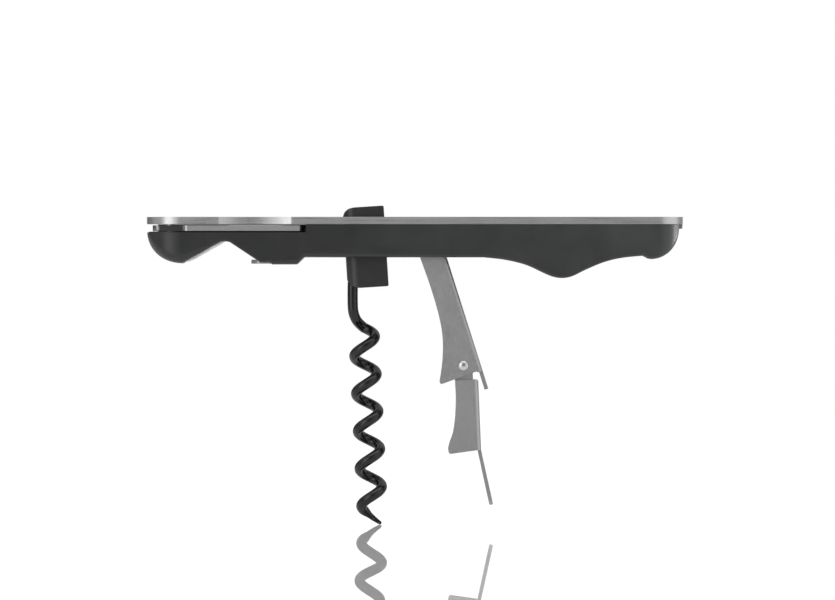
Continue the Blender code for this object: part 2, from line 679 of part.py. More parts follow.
def add_worm(build):
    pivot = build.empty("worm_axis", (WORM_PIVOT_X, 0.0, PIVOT_Z), BLOCK_TILT)
    crown = BLOCK_CROWN_RADIUS
    outline = [(BLOCK_RIGHT, BLOCK_BOTTOM), (BLOCK_RIGHT, BLOCK_TOP)]
    outline += arc(BLOCK_LEFT + crown, BLOCK_TOP - crown, crown, crown, 90, 180, 6)
    outline += [(BLOCK_LEFT, -10.0), (BLOCK_LEFT + 0.5, -11.2), (BLOCK_LEFT + 1.7, -12.3), (-2.6, BLOCK_BOTTOM)]
    half = BLOCK_HALF
    body = outline_solid("worm_block", [outline], -half, half)
    nose = BLOCK_NOSE_RADIUS
    plan = [(BLOCK_RIGHT + 1, -half - 1), (BLOCK_RIGHT + 1, half + 1)]
    plan += arc(BLOCK_LEFT + nose, half - nose, nose, nose, 90, 180, 6)
    plan += arc(BLOCK_LEFT + nose, nose - half, nose, nose, 180, 270, 6)
    plan[2] = (plan[2][0], half + 1)
    plan[-1] = (plan[-1][0], -half - 1)
    shape = outline_solid("block_plan", [plan], BLOCK_BOTTOM - 2, BLOCK_TOP + 2, upright=False)
    cutters = [(shape, "INTERSECT")]
    cutters.append((rod("bushing_bore", BUSHING_OUTER + FIT, -9.0, 9.0, (0.0, 0.0)), "DIFFERENCE"))
    cutters.append((rod("lock_pin_bore", LOCK_PIN_RADIUS + FIT, -9.0, 9.0, LOCK_PIN, sides=16), "DIFFERENCE"))
    path = [(p, 1.0) for p, share in worm_centreline()[:10]]
    path[0] = (path[0][0] + Vector((0.0, 0.0, 0.4)), 1.0)
    cutters.append((tube("worm_bore", path, WIRE_RADIUS + FIT), "DIFFERENCE"))
    for cutter, operation in cutters:
        build.combine(body, cutter, operation)
        cutter.parent = pivot
    build.keep(body, "block_black", pivot)
    build.keep(tube("worm_spiral", worm_centreline(), WIRE_RADIUS), "coated_black", pivot)
    bushing = ring("worm_bushing", PIN_HOLE, BUSHING_OUTER, 5.0, -5.0)
    build.keep(place(bushing, 0, 0, 0, 90), "brass", pivot)
    build.keep(rod("worm_lock_pin", LOCK_PIN_RADIUS, -4.9, 4.9, LOCK_PIN, sides=16), "bright_steel", pivot)


# --- Lever group -------------------------------------------------------------------------------
def lever_upper_outline():
    points = [(-EAR_RADIUS * math.cos(a), -EAR_RADIUS * math.sin(a)) for a in angles(90, -80, 10)]
    points += smooth_through(LEVER_EDGE, 3)
    points += [(LEVER_END - 0.1, 8.2), (LEVER_END + 0.3, 7.5), (LEVER_END, LEVER_WEB + WEB_SHEET)]
    points += [(TAB_END, LEVER_WEB + WEB_SHEET), (TAB_END, LEVER_WEB)]
    return hanging(points)


def angles(start_deg, end_deg, steps):
    return [math.radians(start_deg + (end_deg - start_deg) * i / steps) for i in range(steps + 1)]


def add_lever_upper(build, pivot):
    half = LEVER_HALF
    inner = half - SHEET
    lever = outline_solid("lever_upper", [lever_upper_outline()], -half, half)
    web_x = -(LEVER_WEB + WEB_SHEET)
    far = 20.0
    knee_x, knee_z = -KNEE[1], -KNEE[0]
    cutters = [block("lever_channel", (-far, web_x), (-inner, inner), (-60.0, far))]
    cutters.append(block("lever_ears", (0.0, far), (-inner, inner), (-WEB_START, far)))
    for name, side in (("tab_trim_front", -1), ("tab_trim_rear", 1)):
        low, high = sorted((side * TAB_HALF, side * far))
        cutters.append(block(name, (web_x - 1, far), (low, high), (-60.0, -LEVER_END - 0.4)))
    cutters.append(rod("lever_pin_bore", PIN_HOLE, -far, far, (0.0, 0.0)))
    cutters.append(rod("knee_bore", KNEE_HOLE, -far, far, (knee_x, knee_z), sides=16))
    for cutter in cutters:
        build.combine(lever, cutter)
        cutter.parent = pivot
    build.keep(lever, "lever_steel", pivot)
    head = 7.05
    profile = [(0, head), (0.8, head - 0.08), (1.35, head - 0.35), (1.35, head - 0.6)]
    profile += [(0.95, head - 0.6), (0.95, 4.5), (0, 4.5)]
    for name, turn in (("knee_rivet_front", 90), ("knee_rivet_rear", -90)):
        rivet = place(turned(name, profile, sides=20), knee_x, 0.0, knee_z, turn)
        build.keep(rivet, "bright_steel", pivot)


def lever_lower_outline():
    points = [(-LUG_RADIUS * math.cos(a), -LUG_RADIUS * math.sin(a)) for a in angles(90, -80, 8)]
    points += smooth_through(LOWER_EDGE, 3)
    points += [(21.7, 4.95), LOWER_CORNER, (LOWER_END, LOWER_WEB + WEB_SHEET)]
    rise = math.tan(math.radians(TONGUE_BEND)) * (TONGUE_END - LOWER_END)
    points += [(TONGUE_END, LOWER_WEB + WEB_SHEET - rise), (TONGUE_END + 0.2, LOWER_WEB - rise + 0.4)]
    points += [(TONGUE_END, LOWER_WEB - rise), (LOWER_END, LOWER_WEB)]
    points += [(SHOULDER + 1.14, LOWER_WEB), (SHOULDER + 0.34, LOWER_WEB + 0.34), (SHOULDER, -LUG_RADIUS)]
    return hanging(points)


def add_lever_lower(build, pivot):
    half = LOWER_HALF
    inner = half - SHEET
    lug_inner = LUG_HALF - SHEET
    lever = outline_solid("lever_lower", [lever_lower_outline()], -half, half)
    web_x = -(LOWER_WEB + WEB_SHEET)
    far = 20.0
    joggle = -SHOULDER - JOGGLE
    cutters = [block("lower_channel", (-far, web_x), (-inner, inner), (-60.0, joggle))]
    cutters.append(block("lug_channel", (-far, web_x), (-lug_inner, lug_inner), (joggle - 0.5, far)))
    for name, side in (("lug_trim_front", -1), ("lug_trim_rear", 1)):
        low, high = sorted((side * LUG_HALF, side * far))
        cutters.append(block(name, (-far, far), (low, high), (-SHOULDER, far)))
    for name, side in (("tongue_trim_front", -1), ("tongue_trim_rear", 1)):
        low, high = sorted((side * TONGUE_HALF, side * far))
        cutters.append(block(name, (web_x - 1, far), (low, high), (-60.0, -LOWER_END - 0.6)))
    cutters.append(rod("lower_knee_bore", KNEE_HOLE, -far, far, (0.0, 0.0), sides=16))
    for cutter in cutters:
        build.combine(lever, cutter)
        cutter.parent = pivot
    build.keep(lever, "lever_steel", pivot)


def add_levers(build):
    pivot = build.empty("lever_axis", (0.0, 0.0, PIVOT_Z), LEVER_TILT)
    add_lever_upper(build, pivot)
    knee = build.empty("knee_axis", (-KNEE[1], 0.0, -KNEE[0]), LOWER_TILT - LEVER_TILT, pivot)
    add_lever_lower(build, knee)


def main():
    clear_scene()
    build = Builder()
    add_spine(build)
    add_handle(build)
    add_liners(build)
    add_pins(build)
    add_block_spring(build)
    add_cap_lifter(build)
    add_spine_screws(build)
    add_blade_seat(build)
    add_blade(build)
    add_worm(build)
    add_levers(build)


main()
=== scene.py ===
import json
import math

import bmesh
import bpy
from mathutils import Matrix, Vector


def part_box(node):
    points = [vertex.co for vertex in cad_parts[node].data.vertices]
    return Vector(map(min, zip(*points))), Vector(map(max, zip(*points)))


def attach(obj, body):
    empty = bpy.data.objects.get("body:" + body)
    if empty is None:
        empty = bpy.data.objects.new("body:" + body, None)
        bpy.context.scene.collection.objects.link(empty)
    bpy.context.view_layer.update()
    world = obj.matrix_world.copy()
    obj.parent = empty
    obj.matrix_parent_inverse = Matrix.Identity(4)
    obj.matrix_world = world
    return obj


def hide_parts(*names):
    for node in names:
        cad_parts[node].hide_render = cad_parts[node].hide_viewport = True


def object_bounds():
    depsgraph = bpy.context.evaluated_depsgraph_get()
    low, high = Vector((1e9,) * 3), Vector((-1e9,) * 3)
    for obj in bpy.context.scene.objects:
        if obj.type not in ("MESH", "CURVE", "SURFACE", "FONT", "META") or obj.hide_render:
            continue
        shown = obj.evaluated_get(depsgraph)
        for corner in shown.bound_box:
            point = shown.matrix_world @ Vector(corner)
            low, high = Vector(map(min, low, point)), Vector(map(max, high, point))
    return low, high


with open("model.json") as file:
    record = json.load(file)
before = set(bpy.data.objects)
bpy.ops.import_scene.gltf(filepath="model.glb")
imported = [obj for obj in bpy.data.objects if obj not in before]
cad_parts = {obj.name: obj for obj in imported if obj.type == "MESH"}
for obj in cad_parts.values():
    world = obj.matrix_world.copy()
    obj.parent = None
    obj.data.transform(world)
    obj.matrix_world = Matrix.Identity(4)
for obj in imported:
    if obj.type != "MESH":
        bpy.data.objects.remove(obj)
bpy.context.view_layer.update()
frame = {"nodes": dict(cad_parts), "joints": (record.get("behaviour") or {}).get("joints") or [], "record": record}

MM = 0.001

# Sizes of pieces are in millimetres in the row frame, and the helpers turn them into metres.
# Lights, floor and camera are in metres.
JOINTS = {joint["name"]: Vector(joint["pos_m"]) for joint in frame["joints"]}
LEVER_TILT = 17.55
LOWER_TILT = 2.44
BLOCK_TILT = 3.64
WORM_TILT = 2.66

PLATE_LOW, PLATE_HIGH = (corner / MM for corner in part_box("spine_plate"))
HANDLE_HALF = (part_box("handle_body")[1] / MM).y
PLATE_RIGHT_RADIUS = 6.5
PLATE_LEFT_RADIUS = 9.0
SCALLOP = (-55.2, -35.4, 1.8)
SPINE_SLOT = (-25.0, -2.3, 5.4)
BLADE_X = JOINTS["blade_pivot"].x / MM
SPINE_SCREWS = [(-28.7, -5.6), (-28.7, 5.6), (61.6, -6.1), (61.6, 6.1)]
LIFTER_SCREW_X = -38.3
LIFTER_SCREW_Y = 2.4
HEAD_DOME = 0.05
THROUGH = 20.0


# --- Points ------------------------------------------------------------------
def arc(x, y, radius_x, radius_y, start_deg, end_deg, steps):
    points = []
    for i in range(steps + 1):
        angle = math.radians(start_deg + (end_deg - start_deg) * i / steps)
        points.append((x + radius_x * math.cos(angle), y + radius_y * math.sin(angle)))
    return points


def smooth_through(points, steps):
    """A Catmull-Rom curve through the points, steps to a span."""
    ends = [points[0], *points, points[-1]]
    curve = []
    for i in range(len(points) - 1):
        before, start, end, after = (Vector(p) for p in ends[i : i + 4])
        for step in range(steps):
            t = step / steps
            blend = 2 * start + (end - before) * t
            blend += (2 * before - 5 * start + 4 * end - after) * t**2
            blend += (3 * start - before - 3 * end + after) * t**3
            curve.append(tuple(blend / 2))
    return [*curve, tuple(points[-1])]


def round_corner(before, corner, after, radius, steps):
    """The curve that replaces a corner and takes less than half of either side."""
    corner = Vector(corner)
    back = Vector(before) - corner
    ahead = Vector(after) - corner
    half_angle = back.angle(ahead) / 2
    if radius <= 0 or half_angle > math.radians(88):
        return [tuple(corner)]
    reach = min(radius / math.tan(half_angle), back.length * 0.49, ahead.length * 0.49)
    start = corner + back.normalized() * reach
    end = corner + ahead.normalized() * reach
    points = []
    for i in range(steps + 1):
        t = i / steps
        points.append(tuple(start * (1 - t) ** 2 + corner * 2 * t * (1 - t) + end * t**2))
    return points


def rounded(points, radius, steps=5, closed=True):
    """The outline with its corners rounded; a point may carry its own radius."""
    plain = [p[:2] for p in points]
    result = []
    for i, point in enumerate(points):
        if not closed and i in (0, len(points) - 1):
            result.append(point[:2])
            continue
        size = point[2] if len(point) > 2 else radius
        result += round_corner(plain[i - 1], plain[i], plain[(i + 1) % len(plain)], size, steps)
    return result


def hanging(points):
    """Turns (u down from the pivot, v towards the worm) into local x and z."""
    return [(-p[1], -p[0], *p[2:]) for p in points]


# --- Mesh helpers --------------------------------------------------------------
def new_object(name, mesh):
    obj = bpy.data.objects.new(name, mesh)
    bpy.context.scene.collection.objects.link(obj)
    return obj


def settle(obj):
    """Applies every modifier, so the object keeps one final mesh."""
    bpy.context.view_layer.update()
    graph = bpy.context.evaluated_depsgraph_get()
    mesh = bpy.data.meshes.new_from_object(obj.evaluated_get(graph))
    obj.modifiers.clear()
    obj.data = mesh
    return obj


def curve_to_mesh(name, curve):
    holder = new_object(name + "_curve", curve)
    bpy.context.view_layer.update()
    graph = bpy.context.evaluated_depsgraph_get()
    mesh = bpy.data.meshes.new_from_object(holder.evaluated_get(graph))
    bpy.data.objects.remove(holder)
    return new_object(name, mesh)


def clean(obj, distance=0.000002):
    mesh = bmesh.new()
    mesh.from_mesh(obj.data)
    bmesh.ops.remove_doubles(mesh, verts=mesh.verts, dist=distance)
    bmesh.ops.dissolve_degenerate(mesh, edges=mesh.edges, dist=distance)
    bmesh.ops.recalc_face_normals(mesh, faces=mesh.faces)
    if mesh.calc_volume(signed=True) < 0:
        bmesh.ops.reverse_faces(mesh, faces=mesh.faces)
    mesh.to_mesh(obj.data)
    mesh.free()
    return obj


AXES = {
    "Y": Matrix.Rotation(math.radians(90), 4, "X"),
    "Z": Matrix.Identity(4),
    "X": Matrix.Rotation(math.radians(90), 4, "Z") @ Matrix.Rotation(math.radians(90), 4, "X"),
}


def extruded(name, outlines, low, high, along="Y"):
    """Closed outlines, the first the outer, extruded along Y, Z or X."""
    curve = bpy.data.curves.new(name, "CURVE")
    curve.dimensions = "2D"
    curve.fill_mode = "BOTH"
    curve.extrude = abs(high - low) / 2 * MM
    for points in outlines:
        spline = curve.splines.new("POLY")
        spline.points.add(len(points) - 1)
        for point, (a, b) in zip(spline.points, points):
            point.co = (a * MM, b * MM, 0.0, 1.0)
        spline.use_cyclic_u = True
    middle = (low + high) / 2 * MM
    shift = {"Y": (0, middle, 0), "Z": (0, 0, middle), "X": (middle, 0, 0)}[along]
    solid = curve_to_mesh(name, curve)
    solid.data.transform(Matrix.Translation(shift) @ AXES[along])
    return clean(solid)


def turned(name, profile, sides=48):
    """A solid of revolution about Z from (radius, height), top to bottom."""
    mesh = bmesh.new()
    verts = [mesh.verts.new((r * MM, 0, h * MM)) for r, h in profile]
    edges = [mesh.edges.new(pair) for pair in zip(verts, verts[1:])]
    about_z = {"cent": (0, 0, 0), "axis": (0, 0, 1), "angle": 2 * math.pi}
    bmesh.ops.spin(mesh, geom=verts + edges, steps=sides, use_merge=True, **about_z)
    data = bpy.data.meshes.new(name)
    mesh.to_mesh(data)
    mesh.free()
    return clean(new_object(name, data))


def boxed(name, x, y, z):
    """A box from its (low, high) ranges along the three axes."""
    return extruded(name, [[(x[0], z[0]), (x[1], z[0]), (x[1], z[1]), (x[0], z[1])]], y[0], y[1])


def drill(name, radius, low, high, at, along="Y", sides=48):
    """A round cutter from low to high along an axis."""
    circle = arc(*at, radius, radius, 0, 360 - 360 / sides, sides - 1)
    return extruded(name, [circle], low, high, along)


def carve(target, cutter, operation="DIFFERENCE"):
    """One exact Boolean, applied at once; the cutter is removed."""
    modifier = target.modifiers.new("carve", "BOOLEAN")
    modifier.operation = operation
    modifier.object = cutter
    modifier.solver = "EXACT"
    settle(target)
    bpy.data.objects.remove(cutter)
    return target


def soften(obj, width, segments=2, angle_deg=40):
    """Rounds the sharp edges by a width in millimetres."""
    bevel = obj.modifiers.new("soften", "BEVEL")
    bevel.width = width * MM
    bevel.segments = segments
    bevel.limit_method = "ANGLE"
    bevel.angle_limit = math.radians(angle_deg)
    return settle(obj)


def finish_piece(obj, material, body, nodes, smooth_deg=32):
    """Gives a piece its material and shading, parents it to its body's empty and hides the CAD nodes that it
    replaces.
    """
    obj.data.materials.clear()
    obj.data.materials.append(material)
    obj.data.shade_smooth()
    obj.data.set_sharp_from_angle(angle=math.radians(smooth_deg))
    weighting = obj.modifiers.new("weighting", "WEIGHTED_NORMAL")
    weighting.keep_sharp = True
    settle(obj)
    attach(obj, body)
    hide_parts(*nodes)
    return obj


def at_joint(obj, joint, tilt_deg):
    """Puts a piece built in its joint's own frame where it stands at rest."""
    tilt = Matrix.Rotation(-math.radians(tilt_deg), 4, "Y")
    obj.data.transform(Matrix.Translation(JOINTS[joint]) @ tilt)
    return obj


# --- Materials -------------------------------------------------------------------
class Shader:
    """A Principled material and short calls that add nodes to it."""

    def __init__(self, name, colour, roughness, metallic):
        self.material = bpy.data.materials.new(name)
        self.material.use_nodes = True
        self.tree = self.material.node_tree
        self.shader = self.tree.nodes["Principled BSDF"]
        self.shader.inputs["Base Color"].default_value = (*colour, 1)
        self.shader.inputs["Roughness"].default_value = roughness
        self.shader.inputs["Metallic"].default_value = metallic
        self.place = self.node("ShaderNodeTexCoord").outputs["Object"]

    def node(self, kind, **settings):
        made = self.tree.nodes.new(kind)
        for key, value in settings.items():
            setattr(made, key, value)
        return made

    def join(self, output, socket):
        self.tree.links.new(output, socket)

    def noise(self, scale, detail=3.0, roughness=0.5, distortion=0.0):
        """Noise with its own scale along each axis, in cycles a metre."""
        mapping = self.node("ShaderNodeMapping")
        mapping.inputs["Scale"].default_value = scale
        self.join(self.place, mapping.inputs["Vector"])
        texture = self.node("ShaderNodeTexNoise")
        texture.inputs["Scale"].default_value = 1.0
        texture.inputs["Detail"].default_value = detail
        texture.inputs["Roughness"].default_value = roughness
        texture.inputs["Distortion"].default_value = distortion
        self.join(mapping.outputs["Vector"], texture.inputs["Vector"])
        return texture.outputs["Fac"]

    def spread(self, value, low, high, source_low=0.3, source_high=0.7):
        """Maps a noise value to a range."""
        mapped = self.node("ShaderNodeMapRange")
        mapped.inputs["From Min"].default_value = source_low
        mapped.inputs["From Max"].default_value = source_high
        mapped.inputs["To Min"].default_value = low
        mapped.inputs["To Max"].default_value = high
        self.join(value, mapped.inputs["Value"])
        return mapped.outputs["Result"]

    def calculate(self, operation, first, second):
        made = self.node("ShaderNodeMath", operation=operation)
        for socket, value in zip(made.inputs, (first, second)):
            if isinstance(value, (int, float)):
                socket.default_value = value
            else:
                self.join(value, socket)
        return made.outputs["Value"]

    def blend(self, factor, dark, light):
        """A colour between two others, set by a value from 0 to 1."""
        mix = self.node("ShaderNodeMix", data_type="RGBA")
        mix.inputs["A"].default_value = (*dark, 1)
        mix.inputs["B"].default_value = (*light, 1)
        self.join(factor, mix.inputs["Factor"])
        return mix.outputs["Result"]

    def scaled(self, colour, factor):
        made = self.node("ShaderNodeVectorMath", operation="SCALE")
        self.join(colour, made.inputs[0])
        self.join(factor, made.inputs["Scale"])
        return made.outputs["Vector"]

    def bump(self, height, depth_mm, strength=1.0):
        bump = self.node("ShaderNodeBump")
        bump.inputs["Strength"].default_value = strength
        bump.inputs["Distance"].default_value = depth_mm * MM
        self.join(height, bump.inputs["Height"])
        self.join(bump.outputs["Normal"], self.shader.inputs["Normal"])

    def colour(self, output):
        self.join(output, self.shader.inputs["Base Color"])

    def roughness(self, output):
        self.join(output, self.shader.inputs["Roughness"])


STEEL_WARMTH = 0.004
TANG_ENDS = -0.0645
BLADE_BEGINS = -0.0641
# Where the handle's painted light starts and where it is full, along x in metres: its colour is lightened towards
# the right end.
PAINTED_LIGHT_FROM = -0.04
PAINTED_LIGHT_TO = 0.065


def grey(value, warmth=0.0):
    return (value * (1 + warmth), value, value * (1 - warmth))


def steel(name, tone, rough, grain, contrast=0.12, bump_mm=0.004):
    """Brushed steel; grain gives the noise scale along x, y and z."""
    shader = Shader(name, grey(tone), rough, 1.0)
    lines = shader.noise(grain, detail=5.0, roughness=0.65)
    smudge = shader.noise((90, 90, 90), detail=4.0, roughness=0.6, distortion=0.4)
    factor = shader.calculate("ADD", shader.spread(lines, 0.0, 0.75), shader.spread(smudge, 0.0, 0.15))
    dark = grey(tone * (1 - contrast), STEEL_WARMTH)
    light = grey(tone * (1 + contrast), STEEL_WARMTH)
    shader.colour(shader.blend(factor, dark, light))
    wander = shader.spread(smudge, -0.02, 0.03)
    shader.roughness(shader.calculate("ADD", shader.spread(lines, rough - 0.05, rough + 0.06), wander))
    shader.bump(lines, bump_mm, 0.5)
    return shader.material


def ground_blade(tone):
    """Ground steel: satin on the blade; polished on the tang left of the heel, with its colour darkened there as
    painted shade for the dark front that the tang reflects.
    """
    shader = Shader("blade_steel_ground", grey(tone), 0.3, 1.0)
    lines = shader.noise((4200, 160, 4200), detail=5.0, roughness=0.65)
    split = shader.node("ShaderNodeSeparateXYZ")
    shader.join(shader.place, split.inputs["Vector"])
    satin = shader.spread(split.outputs["X"], 0.12, 0.34, TANG_ENDS, BLADE_BEGINS)
    base = shader.blend(shader.spread(lines, 0.0, 1.0), grey(tone * 0.94), grey(tone * 1.06))
    # Painted shade: the colour is halved on the tang, standing in for the dark reflection and shadow seen there.
    painted_shading_gain = shader.spread(split.outputs["X"], 0.5, 1.0, TANG_ENDS, BLADE_BEGINS)
    shader.colour(shader.scaled(base, painted_shading_gain))
    shader.roughness(shader.calculate("ADD", satin, shader.spread(lines, -0.02, 0.04)))
    shader.bump(lines, 0.002, 0.4)
    return shader.material


def moulded(name, tone, rough, grain_mm, bump_mm, tint=(1.0, 1.04, 1.03), right_end_painted_light=1.0):
    """Black moulded plastic with a fine eroded texture; its colour is lightened towards the right end by the given
    multiplier, painted light standing in for light from the right.
    """
    shader = Shader(name, tuple(tone * t for t in tint), rough, 0.0)
    fine = shader.noise((1000 / grain_mm,) * 3, detail=2.0, roughness=0.6)
    broad = shader.noise((60, 60, 60), detail=4.0, roughness=0.6, distortion=0.6)
    low = tuple(tone * 0.82 * t for t in tint)
    high = tuple(tone * 1.2 * t for t in tint)
    split = shader.node("ShaderNodeSeparateXYZ")
    shader.join(shader.place, split.inputs["Vector"])
    # Painted light: the base colour is scaled up towards the right end, where more light falls from the right.
    painted_shading_gain = shader.spread(split.outputs["X"], 1.0, right_end_painted_light, PAINTED_LIGHT_FROM, PAINTED_LIGHT_TO)
    base = shader.blend(shader.spread(broad, 0.0, 1.0), low, high)
    shader.colour(shader.scaled(base, painted_shading_gain))
    speckle = shader.spread(fine, -0.04, 0.05)
    shader.roughness(shader.calculate("ADD", shader.spread(broad, rough - 0.04, rough + 0.05), speckle))
    shader.bump(fine, bump_mm, 0.6)
    return shader.material


def coated(name, tone, rough):
    """Smooth black coating with orange peel and faint rub marks."""
    shader = Shader(name, grey(tone), rough, 0.0)
    peel = shader.noise((1400, 1400, 1400), detail=2.0)
    rub = shader.noise((160, 160, 90), detail=4.0, roughness=0.6, distortion=0.4)
    worn = shader.spread(rub, 0.0, 1.0, 0.55, 0.8)
    shader.colour(shader.blend(worn, grey(tone * 0.9), grey(tone * 1.9)))
    shader.roughness(shader.spread(rub, rough - 0.03, rough + 0.08))
    shader.bump(peel, 0.003, 0.2)
    shader.shader.inputs["IOR"].default_value = 1.5
    return shader.material


def plain_trim(name, colour, rough, metallic):
    """Brass or nylon with a fine grain and darker patches."""
    shader = Shader(name, colour, rough, metallic)
    grain = shader.noise((2500, 2500, 2500), detail=3.0)
    patches = shader.noise((400, 400, 400), detail=4.0, roughness=0.7)
    low = tuple(c * 0.75 for c in colour)
    shader.colour(shader.blend(shader.spread(patches, 0.0, 1.0), low, colour))
    shader.roughness(shader.spread(patches, rough - 0.05, rough + 0.12))
    shader.bump(grain, 0.004, 0.4)
    return shader.material


MATERIALS = {
    "spine_steel": steel("spine_steel_brushed", 0.55, 0.3, (60, 5200, 5200)),
    "lever_steel": steel("lever_steel_satin", 0.43, 0.38, (2600, 2600, 900), 0.06, 0.002),
    "bright_steel": steel("bright_steel_polished", 0.62, 0.17, (2400, 2400, 2400), 0.06, 0.002),
    "cap_rest": steel("cap_rest_satin", 0.9, 0.5, (1800, 1800, 1800), contrast=0.05),
    "frame_steel": steel("frame_steel_stamped", 0.42, 0.36, (1500, 1500, 1500), contrast=0.12),
    "blade_steel": ground_blade(0.47),
    # The handle's colour is lightened towards its right end: painted light.
    "moulded_black": moulded("handle_black_moulded", 0.018, 0.33, 0.16, 0.008, right_end_painted_light=2.2),
    "block_black": moulded("block_black_moulded", 0.024, 0.33, 0.2, 0.004, (1.0, 1.02, 1.01)),
    "worm_coating": coated("worm_black_coating", 0.003, 0.19),
    "brass": plain_trim("brass_turned", (0.62, 0.42, 0.17), 0.3, 1.0),
    "nylon": plain_trim("nylon_natural", (0.72, 0.7, 0.62), 0.45, 0.0),
}


# --- Spine plate ------------------------------------------------------------------
def plan_outline(left, right, half):
    """The spine's plan as (x, y), with the scallop in its front edge."""
    corner, nose = PLATE_RIGHT_RADIUS, PLATE_LEFT_RADIUS
    points = arc(right - corner, half - corner, corner, corner, 0, 90, 18)
    points += arc(left + nose, half - nose, nose, nose, 90, 180, 28)
    points += arc(left + nose, nose - half, nose, nose, 180, 270, 28)
    start, end, depth = SCALLOP
    chord = end - start
    radius = (chord**2 / 4 + depth**2) / (2 * depth)
    swing = math.degrees(math.asin(chord / 2 / radius))
    middle = ((start + end) / 2, -half + depth - radius)
    points += arc(*middle, radius, radius, 90 + swing, 90 - swing, 30)
    points += arc(right - corner, corner - half, corner, corner, 270, 360, 18)
    return points


def make_spine():
    outer = plan_outline(PLATE_LOW.x, PLATE_HIGH.x, PLATE_HIGH.y)
    left, right, half = SPINE_SLOT
    slot = rounded([(left, -half), (right, -half), (right, half), (left, half)], 1.2, 8)
    plate = extruded("spine_plate_fine", [outer, slot], PLATE_LOW.z, PLATE_HIGH.z, "Z")
    soften(plate, 0.16, 2)
    finish_piece(plate, MATERIALS["spine_steel"], "handle", ["spine_plate"])


# --- Handle -------------------------------------------------------------------------
BLADE_SEAT = -4.05
BLADE_WALL = -31.9
HANDLE_TOP = -1.95
FAR_WALL_LEFT = -71.2
FAR_WALL_Y = 5.9
LEFT_BULB = (-64.6, -3.96, 9.2, 8.24)
RIGHT_BULB = (59.1, -3.1, 7.3, 8.0)
BELLY = -10.62
WAVE = [(15.0, BELLY), (20.6, -11.26), (26.1, -12.59), (30.9, -14.76), (33.2, -15.7), (35.6, -16.1)]
WAVE += [(38.2, -15.65), (42.0, -13.83), (46.7, -11.91), (51.5, -10.77), (57.0, -10.2)]
# The lower line from the cap notch to the belly, with a radius where a corner is round.
NOTCH = [(-64.9, -12.2), (-64.3, -12.2, 0.5), (-54.4, -6.56, 1.3), (-53.2, -6.4, 1.6)]
NOTCH += [(-52.0, -6.6, 1.3), (-43.88, -12.0, 0.5), (-40.98, -12.0), (-40.88, -12.5)]
NOTCH += [(-34.2, -12.5, 0.6), (-32.3, BELLY, 0.8), (14.0, BELLY)]
LAST_STEP = [(58.5, -11.0, 0.7), (59.6, -11.1)]
LIP = -3.1
LIP_END = PLATE_HIGH.x - 0.05
LIP_START = 66.42
EDGE_RADIUS = 0.55
LEFT_EXTRA = 2.1
RIGHT_EXTRA = 0.5
BUMP_EXTRA = 0.75
TANG_LEDGE_RADIUS = 5.6
TANG_LEDGE_TOP = -3.85
BAY = (-25.6, 58.6, 7.4)
TIP_POCKET = (57.5, 60.8, 3.6)
# Smaller hollows inside the handle: name, then the ranges along x, y and z.
POCKETS = [
    ("tongue_slot", (59.9, 69.0), (-3.65, 3.65), (-6.0, 0.0)),
    ("liner_pocket", (-25.2, 6.7), (-8.0, 8.0), (-10.0, 0.0)),
    ("spring_foot_pocket", (-30.9, -24.6), (-3.5, 3.5), (-3.15, 0.0)),
    ("spring_wall_pocket", (-26.9, -24.5), (-3.55, 3.55), (-20.0, 0.1)),
    ("tooth_seat", (-48.0, -41.0), (-7.6, 7.6), (-14.0, -11.15)),
    ("tail_seat", (-42.0, -35.1), (-4.7, 4.7), (-14.0, -11.15)),
]
REST_SEAT_DEPTH = 0.31
REST_SEAT_HALF = 6.2
# Radius of each round seat, and the height that it is cut up to or down to.
SCREW_SEAT = (1.9, -8.3)
BLADE_SCREW_SEAT = (2.9, -8.2)
WAVE_WASHER_SEAT = (3.7, -4.9)


def keel():
    """The handle's lower line as (x, z), left to right."""
    x, z, a, b = LEFT_BULB
    points = arc(x, z, a, b, 180.5, 268, 26)
    points += rounded(NOTCH, 0.0, 6, closed=False)
    wave = smooth_through(WAVE, 10)
    points += wave[:-1]
    step = [wave[-2], (*WAVE[-1], 0.5), *LAST_STEP]
    points += rounded(step, 0.0, 5, closed=False)[1:]
    x, z, a, b = RIGHT_BULB
    points += arc(x, z, a, b, 279, 359.3, 22)
    points += [(LIP_START, LIP), (LIP_END - 0.15, LIP), (LIP_END, LIP + 0.15)]
    return points


def plan_half(x):
    """Half the handle's width at x, seen from above."""
    left = PLATE_LOW.x + PLATE_LEFT_RADIUS
    right = LIP_END - PLATE_RIGHT_RADIUS
    for past, radius in ((left - x, PLATE_LEFT_RADIUS), (x - right, PLATE_RIGHT_RADIUS)):
        if past > 0:
            return HANDLE_HALF - radius + math.sqrt(max(0.0, radius**2 - past**2))
    return HANDLE_HALF


def ease(t):
    t = min(1.0, max(0.0, t))
    return t * t * (3 - 2 * t)


def rim_radius(x):
    """How round the lower edges are: softest at the bulbs and the bump, crisper elsewhere."""
    left = ease((-57.0 - x) / 9.0)
    right = ease((x - 57.5) / 6.0)
    bump = ease((x + 41.5) / 1.5) * ease((-31.0 - x) / 1.5)
    return EDGE_RADIUS + LEFT_EXTRA * left + RIGHT_EXTRA * right + BUMP_EXTRA * bump


def handle_ring(x, bottom, top):
    """The handle's section at x as (y, z), round at its two lower edges."""
    half = plan_half(x)
    radius = min(rim_radius(x), (top - bottom) * 0.92, half * 0.92)
    ring = [(half, top + (bottom + radius - top) * i / 4) for i in range(4)]
    ring += arc(half - radius, bottom + radius, radius, radius, 0, -90, 8)
    ring += [((half - radius) * (1 - 2 * i / 8), bottom) for i in range(1, 8)]
    ring += arc(radius - half, bottom + radius, radius, radius, -90, -180, 8)
    ring += [(-half, bottom + radius + (top - bottom - radius) * i / 4) for i in range(1, 5)]
    ring += [(-half + 2 * half * i / 8, top) for i in range(1, 8)]
    return ring


